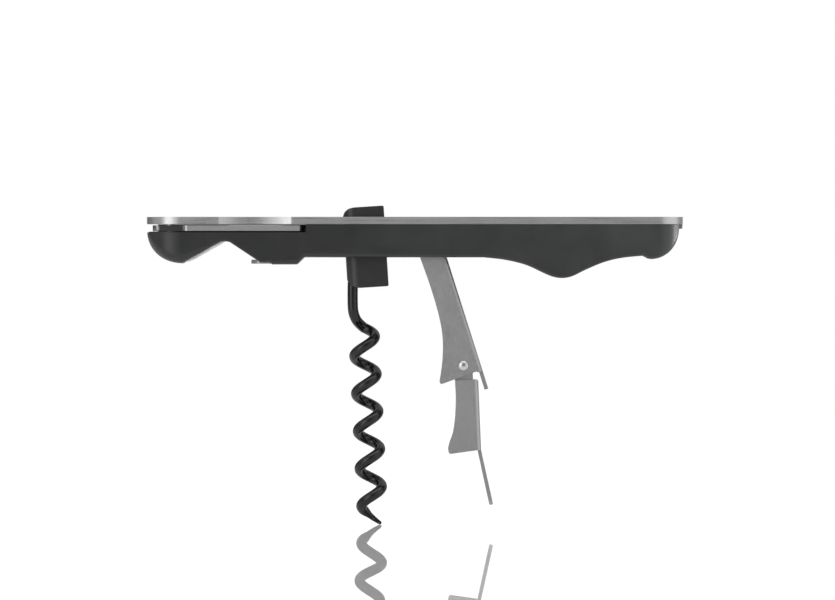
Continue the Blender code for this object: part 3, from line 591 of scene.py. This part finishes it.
def lofted(name, sections):
    """A closed skin over (x, ring of (y, z)) sections, capped at both ends."""
    mesh = bmesh.new()
    rings = [[mesh.verts.new((x * MM, y * MM, z * MM)) for y, z in ring] for x, ring in sections]
    for first, second in zip(rings, rings[1:]):
        for i in range(len(first)):
            j = (i + 1) % len(first)
            mesh.faces.new((first[i], first[j], second[j], second[i]))
    mesh.faces.new(rings[0])
    mesh.faces.new(list(reversed(rings[-1])))
    bmesh.ops.recalc_face_normals(mesh, faces=mesh.faces)
    data = bpy.data.meshes.new(name)
    mesh.to_mesh(data)
    mesh.free()
    return new_object(name, data)


def handle_sections():
    """Sections along the keel; left of the far wall they stop at the blade's seat."""
    sections = []
    walled = False
    for x, z in keel():
        if x > FAR_WALL_LEFT and not walled:
            for edge, top in ((FAR_WALL_LEFT - 0.01, BLADE_SEAT), (FAR_WALL_LEFT, HANDLE_TOP)):
                sections.append((edge, handle_ring(edge, z, top)))
            walled = True
        if walled and x < FAR_WALL_LEFT + 0.05:
            continue
        sections.append((x, handle_ring(x, z, HANDLE_TOP if walled else BLADE_SEAT)))
    return sections


def make_handle():
    body = lofted("handle_body_fine", handle_sections())
    carve(body, boxed("blade_bay", (FAR_WALL_LEFT - 1, BLADE_WALL), (-12.0, FAR_WALL_Y), (BLADE_SEAT, 0.0)))
    on_axis = ((BLADE_X, 0), "Z")
    ledge = drill("tang_ledge", TANG_LEDGE_RADIUS, BLADE_SEAT - 1, TANG_LEDGE_TOP, *on_axis, 64)
    carve(body, ledge, "UNION")
    bays = (("bay", BAY, 1.2, 5), ("tip_pocket", TIP_POCKET, 0.8, 4))
    for name, (left, right, half), radius, steps in bays:
        plan = rounded([(left, -half), (right, -half), (right, half), (left, half)], radius, steps)
        carve(body, extruded(name, [plan], -THROUGH, 0, "Z"))
    for pocket in POCKETS:
        carve(body, boxed(*pocket))
    rest_seat = strip(REST_PATH, REST_SEAT_DEPTH, 3.0)
    carve(body, extruded("cap_rest_seat", [rest_seat], -REST_SEAT_HALF, REST_SEAT_HALF))
    radius, top = SCREW_SEAT
    for spot in SPINE_SCREWS:
        carve(body, drill("counterbore", radius, -THROUGH, top, spot, "Z"))
    radius, top = BLADE_SCREW_SEAT
    carve(body, drill("blade_counterbore", radius, -THROUGH, top, *on_axis))
    radius, floor = WAVE_WASHER_SEAT
    carve(body, drill("washer_pocket", radius, floor, -2, *on_axis))
    clean(body)
    finish_piece(body, MATERIALS["moulded_black"], "handle", ["handle_body"], 35)
    bpy.data.collections["lit_by_kicker"].objects.link(body)


# --- Crown-cap lifter ------------------------------------------------------------------
REST_LINE = [(-63.6, -11.74), (-59.5, -9.42), (-55.4, -7.09), (-54.4, -6.7), (-53.5, -6.55)]
REST_PATH = smooth_through(REST_LINE, 6)
REST_RIVET_INDEX = 12
REST_FADE = 9
REST_NEAR_FADE = 4
REST_HALF = 6.0
REST_INWARD = 0.2
REST_OUTWARD = 0.6
TOOTH_HALF = 7.4
TAIL_HALF = 4.4
TOOTH_SHOULDER_X = -41.2


def strip(path, inward, outward, fade=0):
    """A band along a path; with a fade, its right side thins out at both ends."""
    last = len(path) - 1
    left, right = [], []
    for i, point in enumerate(path):
        run = (Vector(path[min(i + 1, last)]) - Vector(path[max(i - 1, 0)])).normalized()
        normal = Vector((-run.y, run.x))
        left.append(tuple(Vector(point) + normal * inward))
        share = 1.0
        if fade:
            share = 0.1 + 0.9 * ease((last - i) / fade) * ease((i + 1) / REST_NEAR_FADE)
        right.append(tuple(Vector(point) - normal * outward * share))
    return left + right[::-1]


def make_cap_lifter():
    band = strip(REST_PATH, REST_INWARD, REST_OUTWARD, REST_FADE)
    rest = extruded("cap_rest_fine", [band], -REST_HALF, REST_HALF)
    soften(rest, 0.06)
    finish_piece(rest, MATERIALS["cap_rest"], "handle", ["cap_rest_liner"])
    low, high = (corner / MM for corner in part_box("cap_lifter_tooth"))
    notch = [(low.x + 0.9, -0.9, 0.5), (low.x + 0.9, 0.9, 0.5)]
    outline = [(low.x, 3.4, 0.5), (low.x + 1.6, TOOTH_HALF, 1.0)]
    outline += [(TOOTH_SHOULDER_X, TOOTH_HALF, 0.3), (TOOTH_SHOULDER_X, TAIL_HALF, 0.3)]
    outline += [(high.x, TAIL_HALF, 0.8)]
    mirrored = [(x, -y, r) for x, y, r in reversed(outline)]
    front = [(low.x, -1.3, 0.3), *notch, (low.x, 1.3, 0.3)]
    sides = (-LIFTER_SCREW_Y, LIFTER_SCREW_Y)
    holes = [arc(LIFTER_SCREW_X, y, 1.0, 1.0, 0, 345, 23) for y in sides]
    edge = rounded(front + outline + mirrored, 0.3, 4)
    tooth = extruded("cap_lifter_tooth_fine", [edge, *holes], low.z, high.z, "Z")
    soften(tooth, 0.14)
    finish_piece(tooth, MATERIALS["frame_steel"], "handle", ["cap_lifter_tooth"])


# --- Fasteners ---------------------------------------------------------------------------
# Head radius, head height and shank radius.
SPINE_SCREW = (1.6, 1.0, 0.8)
BLADE_SCREW = (2.3, 1.25, 1.0)
LIFTER_SCREW = (1.35, 0.13, 0.65)
REST_RIVET = [(0, 2.9), (0.65, 2.9), (0.65, -0.5), (0.5, -0.6), (0, -0.65)]


def cross_recess(name, size, depth, top):
    """A cross-head recess, tapering as it goes in, along Z from below."""
    width = size * 0.28
    outline = []
    for quarter in range(4):
        turn = Matrix.Rotation(math.radians(90 * quarter), 2)
        for point in ((width, width), (size, width * 0.8), (size, -width * 0.8)):
            outline.append(tuple(turn @ Vector(point)))
    ordered = sorted(outline, key=lambda p: math.atan2(p[1], p[0]))
    return extruded(name, [ordered], top - 1.0, top + depth, "Z")


def place(obj, x, y, z, turn=None):
    """Turns a piece and then moves it, in millimetres."""
    obj.data.transform(Matrix.Translation(Vector((x, y, z)) * MM) @ (turn or Matrix.Identity(4)))
    return obj


def pan_screw(name, head, head_height, shank, length):
    """A pan-head screw, head down at z 0, its shank going up."""
    profile = [(0, length), (shank * 0.7, length), (shank, length - 0.4), (shank, 0.0), (head, 0.0)]
    rim = min(0.4, head_height * 0.8)
    profile += arc(head - rim, rim - head_height, rim, rim, 0, -90, 6)
    profile += [(head * 0.4, -head_height - 0.04), (0, -head_height - HEAD_DOME)]
    screw = turned(name, profile, 40)
    return carve(screw, cross_recess("recess", head * 0.62, head_height * 0.6, -head_height))


def fasten(node, spot, head, head_height, shank):
    """A pan screw as long as its node, with its head at the node's lower end."""
    low, high = (corner.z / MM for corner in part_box(node))
    below = head_height + HEAD_DOME
    screw = pan_screw(node + "_fine", head, head_height, shank, high - low - below)
    place(screw, *spot, low + below)
    finish_piece(screw, MATERIALS["bright_steel"], "handle", [node])


def make_fasteners():
    for i, spot in enumerate(SPINE_SCREWS, 1):
        fasten(f"spine_screw_{i}", spot, *SPINE_SCREW)
    fasten("blade_pivot_screw", (BLADE_X, 0), *BLADE_SCREW)
    for i, y in enumerate((-LIFTER_SCREW_Y, LIFTER_SCREW_Y), 1):
        fasten(f"lifter_screw_{i}", (LIFTER_SCREW_X, y), *LIFTER_SCREW)
    middle = (Vector(REST_PATH[0]) + Vector(REST_PATH[REST_RIVET_INDEX])) / 2
    (x0, z0), (x1, z1) = REST_PATH[0], REST_PATH[REST_RIVET_INDEX]
    slope = math.atan2(z1 - z0, x1 - x0)
    rivet = turned("cap_rest_rivet_fine", REST_RIVET, 36)
    place(rivet, middle.x, 0, middle.y, Matrix.Rotation(-slope, 4, "Y"))
    finish_piece(rivet, MATERIALS["bright_steel"], "handle", ["cap_rest_rivet"])


# --- Foil blade -----------------------------------------------------------------------------
BLADE_EDGE = [(-62.4, 1.6), (-56.0, 0.6), (-48.0, 0.8), (-40.5, -0.7), (-35.6, -4.2), (-33.5, -7.3)]
BLADE_START = -64.1
BLADE_CORNER = 1.0
BLADE_RIM = 0.05
BLADE_STEPS = 148
SERRATION = 1.5
SERRATION_DEPTH = 0.28
GRIND = 3.2
BACK_TO_EDGE = 0.5
HEEL_FROM = -60.0
EDGE_THICKNESS = 0.07
HEEL_THICKNESS = 0.6
TANG_RADIUS = 4.5
TANG_TURN = 1.9
TANG_HOLE = 2.7


def blade_edge_y(x):
    points = smooth_through(BLADE_EDGE, 12)
    for (x0, y0), (x1, y1) in zip(points, points[1:]):
        if x0 <= x <= x1:
            return y0 + (y1 - y0) * (x - x0) / (x1 - x0)
    return points[0][1] if x < points[0][0] else points[-1][1]


def blade_ring(x, end, low, high):
    """The blade's section at x as (y, z): back, ground flank and serrated edge."""
    back, bottom, top = low.y, low.z, high.z
    near_tip = max(0.0, (x - (end - 0.5)) / 0.5)
    heel = ease((HEEL_FROM - x) / 4.5)
    off = max(0.0, BLADE_START + BLADE_CORNER - x)
    y_back = back + 0.4 * near_tip**2 + BLADE_CORNER - math.sqrt(max(0.0, BLADE_CORNER**2 - off**2))
    tooth = abs(((x / SERRATION) % 1.0) * 2 - 1) * SERRATION_DEPTH * (1 - heel)
    y_edge = max(y_back + BACK_TO_EDGE, blade_edge_y(x) - tooth)
    y_grind = max(y_back + 0.25, y_edge - GRIND * (1 - heel) - 0.1)
    thin = EDGE_THICKNESS + HEEL_THICKNESS * heel
    middle = (top + bottom) / 2
    ring = [(y_back, bottom + BLADE_RIM), (y_back + BLADE_RIM, bottom), (y_grind, bottom)]
    ring += [(y_edge, middle - thin), (y_edge, middle + thin)]
    return ring + [(y_grind, top), (y_back + BLADE_RIM, top), (y_back, top - BLADE_RIM)]


def make_blade():
    low, high = (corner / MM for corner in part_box("foil_blade"))
    start, end, corner = BLADE_START, high.x - 0.05, BLADE_CORNER
    run = [start + corner * (1 - math.cos(math.radians(10 * i))) for i in range(9)]
    run += [start + corner + (end - start - corner) * i / BLADE_STEPS for i in range(BLADE_STEPS + 1)]
    blade = lofted("foil_blade_fine", [(x, blade_ring(x, end, low, high)) for x in run])
    size, turn = TANG_RADIUS, TANG_TURN
    outline = arc(BLADE_X, 0, size, size, 50, 180, 40)
    outline += arc(BLADE_X - size + turn, turn - size, turn, turn, 180, 270, 18)
    outline += [(start + 0.8, -size), (start + 0.8, 2.0)]
    tang = extruded("tang", [outline], low.z, high.z, "Z")
    soften(tang, 0.07, 2, 50)
    carve(blade, tang, "UNION")
    carve(blade, drill("blade_hole", TANG_HOLE, -8, 2, (BLADE_X, 0), "Z"))
    finish_piece(clean(blade), MATERIALS["blade_steel"], "blade", ["foil_blade"], 25)


# --- Worm block and worm ------------------------------------------------------------------------
BLOCK_LEFT = -5.65
BLOCK_RIGHT = 5.2
BLOCK_TOP = 8.43
BLOCK_BOTTOM = -12.85
BLOCK_HALF = 5.1
BLOCK_NOSE = 3.0
BUSHING_BORE = 2.6
WIRE_CLEARANCE = 0.12
# The block's bore follows this many points of the worm's line.
BORED_POINTS = 48
WIRE_RADIUS = 1.38
HELIX_RADIUS = 2.84
HELIX_START = 20.9
HELIX_PITCH = 9.9
HELIX_STEPS = 48
WORM_OFFSET = -1.67
SHANK = [(-3.2, 0, -2.4), (-3.45, 0, -6.5), (-4.0, 0, -10.2), (-4.3, 0, -12.5), (-4.57, 0, -16.8)]
SHANK_BEND = [(-4.52, 0.1, -19.2), (-3.99, 0.75, -21.0), (-3.2, 1.95, -22.2)]
HELIX_FIRST_TURN = 0.25
POINT_FROM_TURN = 5.1
POINT_ACROSS = 2.15
POINT_DROP = 75.25
POINT_STEPS = 24
POINT_SAG = 0.22
POINT_BLUNT_FROM = 0.93
# The block's side as (x, z), anticlockwise from its lower right, with a radius for each corner.
BLOCK_SIDE = [(BLOCK_RIGHT, BLOCK_BOTTOM, 0.5), (BLOCK_RIGHT, BLOCK_TOP, 0.5)]
BLOCK_SIDE += [(BLOCK_LEFT - 0.25, BLOCK_TOP, 3.6), (BLOCK_LEFT, -10.9, 1.6)]
BLOCK_SIDE += [(BLOCK_LEFT + 1.6, -12.4, 1.2), (-2.6, BLOCK_BOTTOM, 0.8)]


def worm_axis_point(distance):
    """A point on the coil's axis, in the block's own frame."""
    lean = math.radians(WORM_TILT - BLOCK_TILT)
    return Vector((WORM_OFFSET + distance * math.sin(lean), 0.0, -distance * math.cos(lean)))


def helix_point(turn):
    angle = 2 * math.pi * turn
    side = Vector((-math.cos(angle), math.sin(angle), 0.0)) * HELIX_RADIUS
    return worm_axis_point(HELIX_START + turn * HELIX_PITCH) + side


def worm_line():
    """(point, wire radius share) pairs from inside the block to the tip."""
    steps = round((POINT_FROM_TURN - HELIX_FIRST_TURN) * HELIX_STEPS)
    coil = [helix_point(HELIX_FIRST_TURN + i / HELIX_STEPS) for i in range(steps + 1)]
    lead = smooth_through([*SHANK, *SHANK_BEND, tuple(coil[0])], 10)[:-1]
    pairs = [(Vector(point), 1.0) for point in lead] + [(point, 1.0) for point in coil]
    # The ground point runs down to the tip with a slight sag, seen from the side.
    start = coil[-1]
    end = worm_axis_point(POINT_DROP) + Vector((POINT_ACROSS, 0.0, 0.0))
    for i in range(1, POINT_STEPS + 1):
        t = i / POINT_STEPS
        point = start.lerp(end, t)
        point.y = HELIX_RADIUS * math.sin(math.radians(36 + 130 * t))
        point.z -= POINT_SAG * math.sin(math.pi * t)
        taper = 1.0 - 0.23 * ease(t / 0.4) - 0.45 * t
        blunt = max(0.0, (t - POINT_BLUNT_FROM) / 0.07)
        pairs.append((point, taper * math.sqrt(max(0.03, 1 - blunt**2))))
    return pairs


def wire(name, pairs, radius, resolution):
    """A round wire through (point, radius share) pairs."""
    curve = bpy.data.curves.new(name, "CURVE")
    curve.dimensions = "3D"
    curve.bevel_depth = radius * MM
    curve.bevel_resolution = resolution
    curve.use_fill_caps = True
    spline = curve.splines.new("POLY")
    spline.points.add(len(pairs) - 1)
    for point, (spot, share) in zip(spline.points, pairs):
        point.co = (*(spot * MM), 1.0)
        point.radius = share
    return clean(curve_to_mesh(name, curve))


def block_plan():
    """The block seen from above: square to the right, round at its left corners."""
    half, nose = BLOCK_HALF, BLOCK_NOSE
    plan = [(BLOCK_RIGHT + 2, -half), (BLOCK_RIGHT + 2, half)]
    plan += arc(BLOCK_LEFT + nose, half - nose, nose, nose, 90, 180, 16)
    return plan + arc(BLOCK_LEFT + nose, nose - half, nose, nose, 180, 270, 16)


def make_worm():
    line = worm_line()
    spiral = at_joint(wire("worm_spiral_fine", line, WIRE_RADIUS, 8), "worm_pivot", BLOCK_TILT)
    finish_piece(spiral, MATERIALS["worm_coating"], "worm", ["worm_spiral"], 60)
    body = extruded("worm_block_fine", [rounded(BLOCK_SIDE, 0.5, 8)], -BLOCK_HALF, BLOCK_HALF)
    plan = extruded("block_plan", [block_plan()], BLOCK_BOTTOM - 2, BLOCK_TOP + 2, "Z")
    carve(body, plan, "INTERSECT")
    soften(body, 0.35, 3, 50)
    carve(body, drill("bushing_bore", BUSHING_BORE, -9, 9, (0, 0)))
    bore = [(point, 1.0) for point, share in line[:BORED_POINTS]]
    bore[0] = (bore[0][0] + Vector((0, 0, 0.4)), 1.0)
    carve(body, wire("worm_bore", bore, WIRE_RADIUS + WIRE_CLEARANCE, 6))
    at_joint(body, "worm_pivot", BLOCK_TILT)
    finish_piece(body, MATERIALS["block_black"], "worm", ["worm_block"], 35)


# --- Lever ------------------------------------------------------------------------------------------
SHEET = 0.8
WEB_SHEET = 1.0
LEVER_HALF = 6.3
LEVER_WEB = 3.5
# Side outlines run as (down from the pivot, towards the worm), with a radius for some corners.
LEVER_EDGE = [(3.6, 3.25), (12.0, 2.95), (20.0, 3.1), (26.0, 3.9), (31.6, 5.7), (36.5, 7.95)]
UPPER_HEEL = [(35.5, 7.5), (37.75, 8.6, 1.0), (37.25, -2.2)]
UPPER_TAB = [(37.3, -2.0), (42.45, -2.0), (42.55, -2.5), (42.55, -3.6), (-1.0, -3.6)]
LEVER_BEVEL = 0.28
LOWER_HALF = 6.1
LUG_HALF = 5.2
SHOULDER = 3.76
JOGGLE = 0.9
LOWER_WEB = 3.75
LOWER_EDGE = [(2.4, 2.4), (8.0, 2.3), (13.2, 2.7), (17.4, 3.45), (20.2, 4.55)]
KNEE = (-0.96, -34.8)
PIN_BORE = 1.5
KNEE_BORE = 1.1
UPPER_LUG = 3.4
LOWER_LUG = 2.4
TAB_HALF = 4.2
LOWER_END = 22.3
LOWER_HEEL = [(20.2, 4.55), (21.8, 4.95, 1.0), (23.15, 4.75, 0.7), (LOWER_END, -3.0)]
TONGUE_ROOT = 20.6
TONGUE_END = 36.9
TONGUE_HALF = 3.1
TONGUE_BEND = 10.0


def channel(half, face, bend, back, steps):
    """A channel's plan, open to the left, with round corners at its web."""
    path = [(back, -half)] + arc(face - bend, bend - half, bend, bend, 270, 360, steps)
    return path + arc(face - bend, half - bend, bend, bend, 0, 90, steps) + [(back, half)]


def bent_sheet(name, half, web, low, high):
    """The outer skin of a channel along Z; its web faces local +X."""
    return extruded(name, [channel(half, web, 1.15, -14.0, 8)], low, high, "Z")


def hollow(name, half, web, low, high):
    """What a channel of that outer half width leaves empty."""
    inside = channel(half - SHEET, web - WEB_SHEET, 0.35, -16.0, 6)
    return extruded(name, [inside], low, high, "Z")


def lug(radius, steps):
    """The round end of a lever stage, about its pivot."""
    angles = [math.radians(90 - 170 * i / steps) for i in range(steps + 1)]
    return [(-radius * math.cos(a), -radius * math.sin(a)) for a in angles]


def make_lever_upper():
    end = rounded(UPPER_HEEL, 0, 6, closed=False)[1:-1]
    outline = lug(UPPER_LUG, 28) + smooth_through(LEVER_EDGE, 8)[:-3] + end + UPPER_TAB
    lever = bent_sheet("lever_upper_fine", LEVER_HALF, LEVER_WEB, -46, 6)
    carve(lever, hollow("hollow", LEVER_HALF, LEVER_WEB, -48, 8))
    carve(lever, extruded("side", [hanging(outline)], -8, 8), "INTERSECT")
    inner = LEVER_HALF - SHEET
    carve(lever, boxed("ears", (0.0, 20.0), (-inner, inner), (-6.5, 20.0)))
    for low, high in ((-THROUGH, -TAB_HALF), (TAB_HALF, THROUGH)):
        carve(lever, boxed("tab_trim", (1.0, THROUGH), (low, high), (-60, -37.6)))
    carve(lever, drill("pin_bore", PIN_BORE, -THROUGH, THROUGH, (0, 0)))
    carve(lever, drill("knee_bore", KNEE_BORE, -THROUGH, THROUGH, KNEE))
    soften(lever, LEVER_BEVEL, 3, 45)
    at_joint(lever, "lever_pivot", LEVER_TILT)
    finish_piece(lever, MATERIALS["lever_steel"], "lever", ["lever_upper"], 30)


def make_knee_rivets():
    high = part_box("knee_rivet_rear")[1].y / MM
    profile = [(0, high), (0.5, high - 0.03), (0.95, high - 0.16)]
    profile += [(1.25, high - 0.36), (1.35, high - 0.56), (1.3, high - 0.68)]
    profile += [(0.95, high - 0.68), (0.95, 4.5), (0.7, 4.42), (0, 4.42)]
    for node, turn in (("knee_rivet_front", 90), ("knee_rivet_rear", -90)):
        rivet = turned(node + "_fine", profile, 40)
        place(rivet, *(JOINTS["lever_knee"] / MM), Matrix.Rotation(math.radians(turn), 4, "X"))
        finish_piece(rivet, MATERIALS["bright_steel"], "lever", [node], 40)


def lower_outline():
    """The lower stage seen from the side, as (down from the knee, towards the worm)."""
    end = rounded(LOWER_HEEL, 0, 6, closed=False)[1:-1]
    out = 0.02 + LOWER_WEB
    step = [(LOWER_END, -out), (SHOULDER, -out, 1.1), (SHOULDER, -LOWER_LUG), (-0.6, -LOWER_LUG)]
    shoulder = rounded(step, 0, 8, closed=False)
    return lug(LOWER_LUG, 24) + smooth_through(LOWER_EDGE, 8) + end + shoulder


def make_tongue():
    """The long tongue, bent away from the worm, trimmed round at its tip."""
    rise = math.tan(math.radians(TONGUE_BEND)) * (TONGUE_END - LOWER_END)
    outer, inner, foot = LOWER_WEB, LOWER_WEB - WEB_SHEET, -LOWER_END
    side = [(-TONGUE_ROOT, outer - 0.02), (foot, outer - 0.02, 1.5), (-TONGUE_END, outer + rise, 0.35)]
    side += [(-TONGUE_END - 0.12, inner + rise - 0.02, 0.3), (foot, inner + 0.02, 1.5)]
    side += [(-TONGUE_ROOT, inner + 0.02)]
    half, tip = TONGUE_HALF, -TONGUE_END - 0.2
    tongue = extruded("tongue", [rounded([(x, z, *r) for z, x, *r in side], 0.0, 5)], -half, half)
    plan = rounded([(-half, -10, 0), (half, -10, 0), (half, tip, 1.6), (-half, tip, 1.6)], 0, 8)
    return carve(tongue, extruded("tongue_plan", [plan], -THROUGH, THROUGH, "X"), "INTERSECT")


def make_lever_lower():
    lever = bent_sheet("lever_lower_fine", LOWER_HALF, LOWER_WEB, -30, 6)
    carve(lever, hollow("hollow", LOWER_HALF, LOWER_WEB, -32, -SHOULDER - JOGGLE))
    carve(lever, hollow("lug_hollow", LUG_HALF, LOWER_WEB, -SHOULDER - JOGGLE - 0.5, 8))
    for low, high in ((-THROUGH, -LUG_HALF), (LUG_HALF, THROUGH)):
        carve(lever, boxed("lug_trim", (-THROUGH, THROUGH), (low, high), (-SHOULDER, THROUGH)))
    carve(lever, extruded("side", [hanging(lower_outline())], -8, 8), "INTERSECT")
    carve(lever, make_tongue(), "UNION")
    carve(lever, drill("lower_knee_bore", KNEE_BORE, -THROUGH, THROUGH, (0, 0)))
    clean(lever, 0.00001)
    soften(lever, LEVER_BEVEL, 3, 45)
    at_joint(lever, "lever_knee", LOWER_TILT)
    finish_piece(lever, MATERIALS["lever_steel"], "lever_tip", ["lever_lower"], 30)


# --- Carried-over CAD nodes, floor, light and camera -------------------------------------------------
FLOOR_GAP = 0.00002
FLOOR_SIZE = 6.0
FRONT_GLOW = 0.14
SIDE_GLOW = 0.42
FLANK_GLOW = 0.15
BACK_GLOW = 1.2
RIGHT_GLOW = 0.2
SKY_GLOW = 0.45
# Azimuth and elevation in degrees, distance, width and height in metres, power in watts.
LIGHTS = {
    "key_left": (-43.5, 8, 1.1, 0.6, 0.9, 2.8),
    "key_spill": (-19.5, 4, 1.1, 0.3, 0.9, 0.6),
    "fill_right": (60, 0, 1.1, 1.75, 0.5, 1.3),
    "top": (10, 78, 1.0, 1.2, 0.8, 3.0),
}
KICKER = (84, 0, 0.05, 0.03, 0.006, 0.0115)
KICKER_TARGET = (0.0655, 0, -0.0075)
FRAME_WIDTH = 0.2204
CAMERA_DISTANCE = 3.0
VIEW_CENTRE = (-0.0025, -0.02189)


def dress_cad_nodes():
    """Gives the CAD nodes that stay visible the materials of their slots."""
    slots = {entry["node"]: entry["material_slot"] for entry in frame["record"]["subparts"]}
    for name, node in frame["nodes"].items():
        if not node.hide_render:
            node.data.materials.clear()
            node.data.materials.append(MATERIALS[slots[name]])


def make_floor():
    """A glossy white floor just under the lowest point, which at rest is the worm's tip."""
    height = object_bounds()[0][2] - FLOOR_GAP
    bpy.ops.mesh.primitive_plane_add(size=FLOOR_SIZE, location=(0, 0, height))
    floor = bpy.context.object
    floor.name = "studio_floor"
    shader = Shader("floor_gloss_white", grey(0.9), 0.35, 0.0)
    cloud = shader.noise((3, 3, 3), detail=3.0)
    shader.colour(shader.blend(shader.spread(cloud, 0.0, 1.0), grey(0.88), grey(0.91)))
    gloss = {"Specular IOR Level": 0.0, "Coat Weight": 0.8, "Coat Roughness": 0.0, "Coat IOR": 1.4}
    for key, value in gloss.items():
        shader.shader.inputs[key].default_value = value
    floor.data.materials.append(shader.material)


def make_world():
    """White to the camera; elsewhere a dim front, grey sides, dark flanks and a bright back."""
    world = bpy.data.worlds.new("soft_studio")
    bpy.context.scene.world = world
    world.use_nodes = True
    tree = world.node_tree
    background = tree.nodes["Background"]
    background.inputs["Color"].default_value = (1, 1, 1, 1)
    split = tree.nodes.new("ShaderNodeSeparateXYZ")
    tree.links.new(tree.nodes.new("ShaderNodeTexCoord").outputs["Generated"], split.inputs["Vector"])

    def mapped(source, low, high, start, end):
        node = tree.nodes.new("ShaderNodeMapRange")
        node.interpolation_type = "SMOOTHSTEP"
        for key, value in (("From Min", low), ("From Max", high), ("To Min", start), ("To Max", end)):
            node.inputs[key].default_value = value
        tree.links.new(source, node.inputs["Value"])
        return node.outputs["Result"]

    def added(first, second):
        node = tree.nodes.new("ShaderNodeMath")
        node.operation = "ADD"
        tree.links.new(first, node.inputs[0])
        tree.links.new(second, node.inputs[1])
        return node.outputs["Value"]

    rise_to_side = mapped(split.outputs["Y"], -0.99, -0.5, FRONT_GLOW, SIDE_GLOW)
    fall_to_flank = mapped(split.outputs["Y"], 0.2, 0.45, 0.0, FLANK_GLOW - SIDE_GLOW)
    rise_to_back = mapped(split.outputs["Y"], 0.9, 0.97, 0.0, BACK_GLOW - FLANK_GLOW)
    right = mapped(split.outputs["X"], -0.1, 0.6, 0.0, RIGHT_GLOW)
    sky = mapped(split.outputs["Z"], 0.05, 0.8, 0.0, SKY_GLOW)
    total = added(added(added(rise_to_side, fall_to_flank), rise_to_back), added(right, sky))
    path = tree.nodes.new("ShaderNodeLightPath")
    mix = tree.nodes.new("ShaderNodeMix")
    mix.data_type = "FLOAT"
    tree.links.new(path.outputs["Is Camera Ray"], mix.inputs["Factor"])
    tree.links.new(total, mix.inputs["A"])
    mix.inputs["B"].default_value = 1.0
    tree.links.new(mix.outputs["Result"], background.inputs["Strength"])


def soft_light(name, azimuth_deg, elevation_deg, distance, width, height, power, target=(0, 0, 0)):
    """An area light that faces the target; azimuth 0 is the camera's side."""
    azimuth = math.radians(azimuth_deg)
    elevation = math.radians(elevation_deg)
    flat = distance * math.cos(elevation)
    spot = Vector((flat * math.sin(azimuth), -flat * math.cos(azimuth), distance * math.sin(elevation)))
    light = bpy.data.lights.new(name, "AREA")
    light.shape = "RECTANGLE"
    light.size = width
    light.size_y = height
    light.energy = power
    obj = new_object(name, light)
    obj.location = Vector(target) + spot
    obj.rotation_euler = (-spot).to_track_quat("-Z", "Y").to_euler()
    obj.visible_camera = False
    return obj


def make_camera():
    data = bpy.data.cameras.new("camera")
    data.sensor_width = 36.0
    data.lens = data.sensor_width * CAMERA_DISTANCE / FRAME_WIDTH
    data.clip_end = 50.0
    camera = new_object("camera", data)
    camera.location = (VIEW_CENTRE[0], -CAMERA_DISTANCE, VIEW_CENTRE[1])
    camera.rotation_euler = (math.radians(90), 0, 0)
    bpy.context.scene.camera = camera


def make_studio():
    bpy.context.scene.view_settings.view_transform = "Standard"
    make_world()
    for name, settings in LIGHTS.items():
        soft_light(name, *settings)
    # A small light for the handle's right end alone, which make_handle links to it.
    kicker = soft_light("kicker", *KICKER, KICKER_TARGET)
    kicker.light_linking.receiver_collection = bpy.data.collections.new("lit_by_kicker")
    make_camera()


make_studio()
make_spine()
make_handle()
make_cap_lifter()
make_fasteners()
make_blade()
make_worm()
make_lever_upper()
make_knee_rivets()
make_lever_lower()
dress_cad_nodes()
make_floor()
